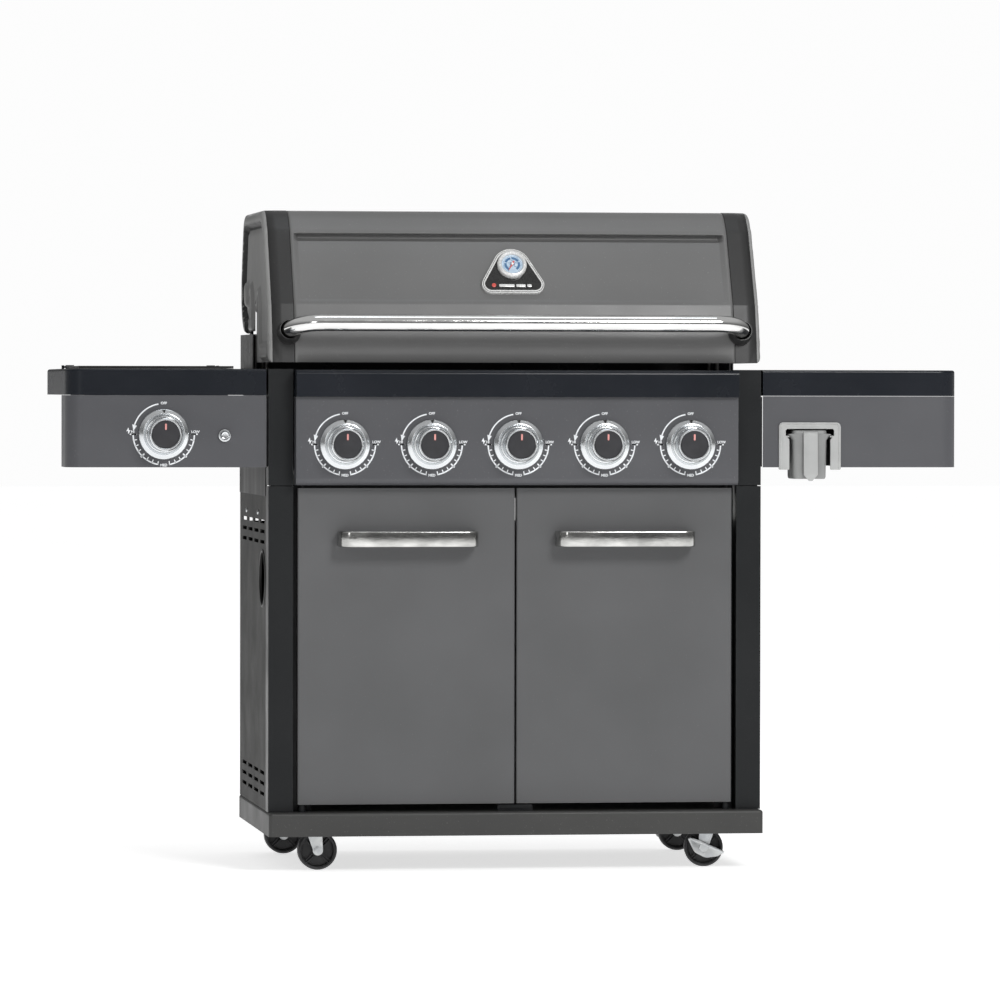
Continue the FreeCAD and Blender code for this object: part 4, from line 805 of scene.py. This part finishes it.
def build_cup():
    low, high = box_mm("catch_cup")
    frame_low, frame_high = box_mm("cup_frame")
    middle_x = (low.x + high.x) / 2
    half = (frame_high.x - frame_low.x) / 2
    foot, top = frame_low.z, frame_high.z
    arch = [(-half, foot), (-half, top), (half, top), (half, foot), (34, foot), (34, 696),
            (40, 703), (40, 713.5), (-40, 713.5), (-40, 703), (-34, 696), (-34, foot)]
    shape = rounded(arch, [2, 7, 7, 2, 1.5, 3, 3, 2, 2, 3, 3, 1.5], 5, closed=True)
    bm = bmesh.new()
    upright = facing(Vector((middle_x * MM, FRONT, 0)))
    prism(bm, shape[::-1], 0.05, 3.0, 0.9)
    lip = rounded([(-half + 2.4, foot + 1), (-half + 2.4, top - 2.4), (half - 2.4, top - 2.4),
                   (half - 2.4, foot + 1)], [0, 5.5, 5.5, 0], 5)
    rows = []
    for point, along in headings(lip):
        across = Vector((-along.y, along.x))
        rows.append([(point[0] + across.x * u, point[1] + across.y * u, v)
                     for u, v in ((-1.4, 2.6), (-0.7, 3.9), (0.7, 3.9), (1.4, 2.6))])
    ribbon(bm, rows)
    make_piece("cup_arch", bm, "cup_silver", "cart", ("cup_frame",), place=upright,
               crease=28)
    rails = bmesh.new()
    for side in (-1, 1):
        x = side * 37.0
        prism(rails, [(x - 3.4, -61), (x + 3.4, -61), (x + 3.4, 0.5), (x - 3.4, 0.5)], 699.7, 702.4,
              0.4)
    down = Matrix.Translation((middle_x * MM, FRONT, 0)) @ Matrix.Scale(-1, 4, (0, 1, 0))
    make_piece("cup_rails", rails, "cup_silver", "cart", place=down)
    cup = bmesh.new()
    centre_y = FRONT / MM + 26
    levels = [(24.4, 26.0, 5, low.z + 3), (26.6, 28.4, 8, low.z + 3.8), (27.6, 29.2, 9, low.z + 7),
              (28.5, 30.0, 8, 694.5), (32.6, 30.2, 6, 702.2), (35.2, 30.2, 4, 703.6),
              (35.5, 30.3, 4, 704.6), (34.9, 30.1, 4, 705.2), (29.6, 29.9, 6, 705.4),
              (28.2, 29.4, 7, 707), (28.0, 29.0, 7, 710.4), (27.2, 28.4, 7, 711),
              (26.8, 28.0, 7, 709), (26.2, 27.6, 7, low.z + 9), (23.6, 25.2, 6, low.z + 5)]
    rows = [[(middle_x + x, centre_y + y, z) for x, y in rounded_rectangle(wide, deep, corner, 5)]
            for wide, deep, corner, z in levels]
    made = ribbon(cup, rows, closed_across=True)
    for end in (made[0], made[-1]):
        cup.faces.new(end)
    # The cup's body takes the darker copy of its silver: painted shade.
    make_piece("cup_shell", cup, "cup_silver_shaded", "hanging_cup", ("catch_cup",),
               crease=40)
    strap = bmesh.new()
    front = FRONT / MM
    line = rounded([(front - 3.2, 709.0), (front - 9.6, 709.0), (front - 11.8, low.z + 12),
                    (front - 10.4, low.z)], [0, 5, 30, 0], 6)
    rows = []
    for (y, z), along in headings(line):
        left = z - low.z
        half = 11.5 if left > 11.5 else math.sqrt(max(11.5 ** 2 - (11.5 - left) ** 2, 9))
        edge = [(-half, 0.4), (-half + 1.4, -0.3), (half - 1.4, -0.3), (half, 0.4), (half, 2.2),
                (-half, 2.2)]
        rows.append([(middle_x + u, y + along.y * -v, z + along.x * v) for u, v in edge])
    made = ribbon(strap, rows, closed_across=True)
    for end in (made[0], made[-1]):
        strap.faces.new(end)
    make_piece("cup_strap", strap, "cup_silver", "hanging_cup", crease=40)


POST_X = 379  # middle of a front post


def build_linings():
    """What the gaps show: door stop, sleeves in the posts, shelf brackets, the cup's pocket."""
    base_top = box_mm("lower_posts")[0].z
    door_high = box_mm("door_right")[1]
    front = FRONT / MM
    upright = facing(Vector((0, FRONT, 0)))
    wide, sill, header = door_high.x + 5.2, base_top + 0.4, door_high.z + 22
    inner = wide - 30
    stop = bmesh.new()
    prism(stop, [(-wide, sill), (-inner, sill), (-inner, door_high.z - 16),
                 (inner, door_high.z - 16), (inner, sill), (wide, sill), (wide, header),
                 (-wide, header)], -22.7, -21.6, 0.2)
    make_piece("door_stop", stop, "black_coat", "cart", place=upright)
    joint_z = box_mm("lower_posts")[1].z
    fascia_low, fascia_high = box_mm("fascia_right")
    for side, word in ((-1, "left"), (1, "right")):
        sleeve = bmesh.new()
        prism(sleeve, shifted(rounded_rectangle(18, 16.5, 3), side * POST_X, front + 20),
              joint_z - 12, joint_z + 14, 0.6)
        make_piece(f"post_sleeve_{word}", sleeve, "black_coat", "cart")
        bracket = bmesh.new()
        edge = rounded_rectangle(1.3, 40, 0.6, 2)
        prism(bracket, shifted(edge, side * (fascia_low.x - 1.8), front + 44),
              fascia_low.z + 1, fascia_high.z - 1, 0.3)
        make_piece(f"shelf_bracket_{word}", bracket, "black_coat", "cart")
    cup_low, cup_high = box_mm("catch_cup")
    middle_x = (cup_low.x + cup_high.x) / 2
    pocket = bmesh.new()
    floor_z, roof_z = fascia_low.z + 2, cup_high.z + 5.5
    walls = [(-43.2, 2.4), (-41.6, 2.4), (-41.6, 64.0), (41.6, 64.0), (41.6, 2.4), (43.2, 2.4),
             (43.2, 65.6), (-43.2, 65.6)]
    prism(pocket, shifted(walls, middle_x, front), floor_z, roof_z, 0.3)
    roof = [(-43.2, 2.4), (43.2, 2.4), (43.2, 65.6), (-43.2, 65.6)]
    prism(pocket, shifted(roof, middle_x, front), roof_z + 0.1, roof_z + 1.6, 0.3)
    make_piece("cup_pocket", pocket, "plastic_black", "cart")


def build_trim():
    """The catch plate under the doors, the upper bands with grain and painted sheen, and the hose holes' rims."""
    base_top = box_mm("lower_posts")[0].z
    catch = bmesh.new()
    shape = rounded_rectangle(28.5, 4.8, 1.6)
    prism(catch, shifted(shape, 0, base_top + 4.9), -6.0, -3.6, 0.4)
    prism(catch, shifted(rounded_rectangle(28.5, 0.9, 0.4), 0, base_top + 1.0), -12, 3.0, 0.2)
    make_piece("door_catch", catch, "black_coat", "cart",
               place=facing(Vector((0, FRONT, 0))))
    openings = {opening["name"]: opening for opening in frame["record"]["physics"]["openings"]}
    hole_low, hole_high = openings["left_hose_hole"]["box_m"]
    hole = (Vector(hole_low) + Vector(hole_high)) / 2
    low, high = box_mm("side_panel_right")
    for side, word in ((-1, "left"), (1, "right")):
        band = bmesh.new()
        sheet = rounded([(low.y + 0.5, 604), (high.y - 0.6, 604), (high.y - 0.6, high.z),
                         (low.y + 0.5, high.z)], [2, 2, 1, 1], 3, closed=True)
        prism(band, sheet, SIDE / MM + 0.02, SIDE / MM + 1.0, 0.35)
        to_side = Matrix(((0, 0, side, 0), (1, 0, 0, 0), (0, 1, 0, 0), (0, 0, 0, 1)))
        make_piece(f"side_band_{word}", band, "band_grain_and_sheen", "cart",
                   place=to_side)
        rim = bmesh.new()
        lathe(rim, [(43.2, -2.4), (43.2, 0.8), (43.9, 1.7), (45.4, 1.9), (46.8, 1.5), (47.4, 0.1)],
              64)
        place = Matrix.Translation((side * SIDE, hole.y, hole.z)) @ Matrix.Rotation(
            side * math.pi / 2, 4, "Y")
        make_piece(f"hose_rim_{word}", rim, "plastic_black", "cart", place=place)


def build_screws():
    """Domed heads with a cross cut in each."""
    low, high = (Vector(corner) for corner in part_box("panel_screws"))
    bm = bmesh.new()
    cross = []
    for quarter in range(4):
        for u, v in ((0.55, 0.55), (2.0, 0.45), (2.0, -0.45)):
            turn = Matrix.Rotation(-quarter * math.pi / 2, 2)
            cross.append(tuple(turn @ Vector((u, v))))
    angles = [math.atan2(y, x) for x, y in cross]
    for side in (-1, 1):
        for y in (low.y + 4 * MM, high.y - 4 * MM):
            head = bmesh.new()
            rings = []
            for radius, height in ((4.1, 0.0), (4.1, 0.5), (3.6, 1.3), (2.9, 1.75)):
                rings.append([(radius * math.cos(turn), radius * math.sin(turn), height)
                              for turn in angles])
            rings += [[(u * part, v * part, height) for u, v in cross]
                      for part, height in ((1.0, 1.85), (0.8, 0.7))]
            made = ribbon(head, rings, closed_across=True)
            head.faces.new(made[-1])
            place = Matrix.Translation((side * SIDE / MM, y / MM, (low.z + high.z) / 2 / MM))
            head.transform(place @ Matrix.Rotation(side * math.pi / 2, 4, "Y"))
            absorb(bm, head)
    make_piece("side_screws", bm, "zinc", "cart", ("panel_screws",), crease=40)


# ---- casters ---------------------------------------------

def axle_frame(joint, reverse=False):
    """A caster axle's place, with local Z along the axle."""
    axis = Vector(joint["axis"]).normalized()
    if reverse:
        axis = -axis
    up = Vector((0, 0, 1))
    across = up.cross(axis)
    turn = Matrix((across, up, axis)).transposed().to_4x4()
    return Matrix.Translation(Vector(joint["pos_m"])) @ turn


def build_wheel(name):
    joint = JOINTS[f"roll_{name}"]
    wheel = bmesh.new()
    profile = [(4.1, -12), (8.2, -12), (9.0, -11.2), (9.6, -4.6), (25.0, -4.0), (26.0, -10.4),
               (27.0, -11.3), (28.6, -12), (30.2, -11.6), (31.3, -10.4), (31.75, -8.4), (31.75, 0)]
    whole = profile + [(radius, -height) for radius, height in profile[-2::-1]]
    lathe(wheel, whole, 64, loop=True)
    for side in (-1, 1):
        for number in range(4):
            for offset in (-2.1, 2.1):
                rib = bmesh.new()
                outline = [(9.0, offset - 0.8), (26.2, offset - 0.8), (26.2, offset + 0.8),
                           (9.0, offset + 0.8)]
                prism(rib, outline, 3.0, 9.6, 0.4)
                rib.transform(Matrix.Rotation(math.radians(45 + 90 * number), 4, "Z"))
                if side < 0:
                    rib.transform(Matrix.Rotation(math.pi, 4, "X"))
                absorb(wheel, rib)
    make_piece(f"tyre_{name}", wheel, "wheel_black", f"roller_{name}",
               (f"wheel_{name}",), place=axle_frame(joint), crease=35)


def build_brake(name):
    """A stamped crescent across the wheel with its top edge turned out as the pedal."""
    joint = JOINTS[f"brake_{name}_press"]
    place = axle_frame(joint, reverse=True)
    belly = rounded([(-25, 12.4), (-15, -8), (3, -17.5), (22, -15), (33, -9.4)], [0, 13, 18, 20, 0],
                    6)
    top = [(31, -6.6), (18, -1.2), (2, 5.6), (-12, 11.6), (-20, 15.2), (-24.4, 14.6)]
    blade = bmesh.new()
    prism(blade, (belly + top)[::-1], 15.7, 17.2, 0.4)
    lip = [(-24.2, 14.2), (31.6, -9.0), (33.4, -7.4), (30.8, -5.0), (18, 0.6), (2, 7.3),
           (-12, 13.4), (-21.5, 16.4)]
    prism(blade, lip, 16.2, 25.2, 0.6)
    lathe(blade, [(4.1, 15.6), (7.2, 15.6), (7.2, 18.0), (6.4, 18.8), (4.1, 18.8)], 32)
    make_piece(f"brake_pedal_{name}", blade, "zinc", f"lever_{name}", (f"brake_{name}",),
               place=place, crease=35)


def build_casters():
    for name in ("front_left", "front_right", "rear_left", "rear_right"):
        build_wheel(name)
    for name in ("front_right", "rear_right"):
        build_brake(name)


# ---- the frame's own nodes -------------------------------

NODE_LOOKS = {
    "black_coat": ["lower_posts", "upper_posts", "back_panel", "caster_plates", "hinge_pins"],
    "rail_black": ["front_rail", "shelf_left", "shelf_right"],
    "base_coat": ["base_tray"],
    "side_grey_shaded": ["side_panel_left", "side_panel_right"],
    "door_grey": ["door_left", "door_right"],
    "panel_grey": ["control_panel", "fascia_left", "fascia_right"],
    "bright_chrome": ["lid_handle"],
    "plastic_black": ["handle_ferrules", "igniter_box"],
    "zinc": ["fork_front_left", "fork_front_right", "fork_rear_left", "fork_rear_right"],
    "brass": ["gas_valves"],
    "pipe_steel": ["gas_manifold", "warming_rack"],
    "heat_steel": ["burner_tubes", "flame_tamers"],
    "cast_iron": ["cooking_grates", "side_burner_grate"],
    "fire_enamel": ["firebox", "side_burner_bowl", "side_lid"],
    "galvanised": ["grease_tray", "grease_cup"],
    "burner_alloy": ["side_burner_head"],
    "needle_red": ["gauge_needle"],
}


def dress_nodes():
    for finish_name, names in NODE_LOOKS.items():
        for name in names:
            for slot in NODES[name].material_slots:
                slot.material = LOOKS[finish_name]


# ---- floor, light and camera -----------------------------

FLOOR_GLOW = 0.66  # keeps the floor as pale as the photograph's


def build_floor():
    bm = bmesh.new()
    bmesh.ops.create_grid(bm, x_segments=8, y_segments=8, size=40)
    mesh = bpy.data.meshes.new("floor")
    bm.to_mesh(mesh)
    bm.free()
    pale = finish("floor_pale", (0.80, 0.80, 0.80), (0.83, 0.83, 0.83), (0.7, 0.8), patch=2,
                  grain=300, lift=0.02, specular=0.1)
    shader = pale.node_tree.nodes["Principled BSDF"]
    shader.inputs["Emission Color"].default_value = (1, 1, 1, 1)
    shader.inputs["Emission Strength"].default_value = FLOOR_GLOW
    mesh.materials.append(pale)
    new_object("floor", mesh)


def area_light(name, place, target, size, power, colour=(1, 1, 1)):
    lamp = bpy.data.lights.new(name, "AREA")
    lamp.shape = "RECTANGLE"
    lamp.size, lamp.size_y = size
    lamp.energy = power
    lamp.color = colour
    holder = new_object(name, lamp)
    holder.location = place
    aim = Vector(target) - Vector(place)
    holder.rotation_euler = aim.to_track_quat("-Z", "Y").to_euler()


def build_light():
    world = bpy.data.worlds.new("studio")
    bpy.context.scene.world = world
    world.use_nodes = True
    tree = world.node_tree
    tree.nodes.clear()
    backdrop = node(tree, "Background", {"Color": (0.98, 0.98, 0.98, 1)})
    place = node(tree, "TexCoord", {})
    split = node(tree, "SeparateXYZ", {"Vector": place.outputs["Generated"]})
    sky = ramp(tree, split.outputs["Z"], [(0.0, 0.40), (0.03, 0.16), (0.16, 0.34), (0.60, 0.95)])
    room = node(tree, "Background", {"Strength": 0.50, "Color": sky})
    seen = node(tree, "LightPath", {})
    chooser = node(tree, "MixShader", {"Fac": seen.outputs["Is Camera Ray"],
                                       1: room.outputs["Background"],
                                       2: backdrop.outputs["Background"]})
    node(tree, "OutputWorld", {"Surface": chooser.outputs["Shader"]})
    area_light("key", (1.5, -4.2, 3.2), (0.0, 0, 0.5), (1.5, 1.2), 112)
    area_light("fill", (-2.4, -4.8, 1.9), (-0.2, 0, 0.6), (1.2, 1.6), 14)
    area_light("top", (0.0, -0.4, 4.2), (0, 0, 0.9), (2.0, 1.0), 12, (0.90, 0.95, 1.0))
    area_light("back", (0.8, 4.2, 2.2), (0, 0, 0.5), (2.4, 1.2), 10)


# Where the photograph was taken from, and the lens in millimetres.
CAMERA_AT = (-1.4386, -10.3407, 0.7772)
CAMERA_RIGHT, CAMERA_DOWN, CAMERA_ROLL = (math.radians(angle) for angle in (7.929, 1.001, 0.096))
LENS = 228.4


def build_camera():
    lens = bpy.data.cameras.new("camera")
    lens.sensor_width = 36
    lens.lens = LENS
    camera = new_object("camera", lens)
    camera.location = CAMERA_AT
    right, down = CAMERA_RIGHT, CAMERA_DOWN
    forward = Vector((math.sin(right) * math.cos(down), math.cos(right) * math.cos(down),
                      -math.sin(down)))
    camera.rotation_mode = "QUATERNION"
    roll = Matrix.Rotation(CAMERA_ROLL, 3, "Z").to_quaternion()
    camera.rotation_quaternion = forward.to_track_quat("-Z", "Y") @ roll
    bpy.context.scene.camera = camera


bpy.context.scene.view_settings.view_transform = "Standard"
build_camera()
build_light()
build_floor()
dress_nodes()
build_lid_panel()
build_lid_ends()
build_badge()
build_gauge()
build_knobs()
build_igniter()
for word in ("left", "right"):
    build_door_handle(word, f"{word}_door")
build_cup()
build_linings()
build_trim()
build_screws()
build_casters()
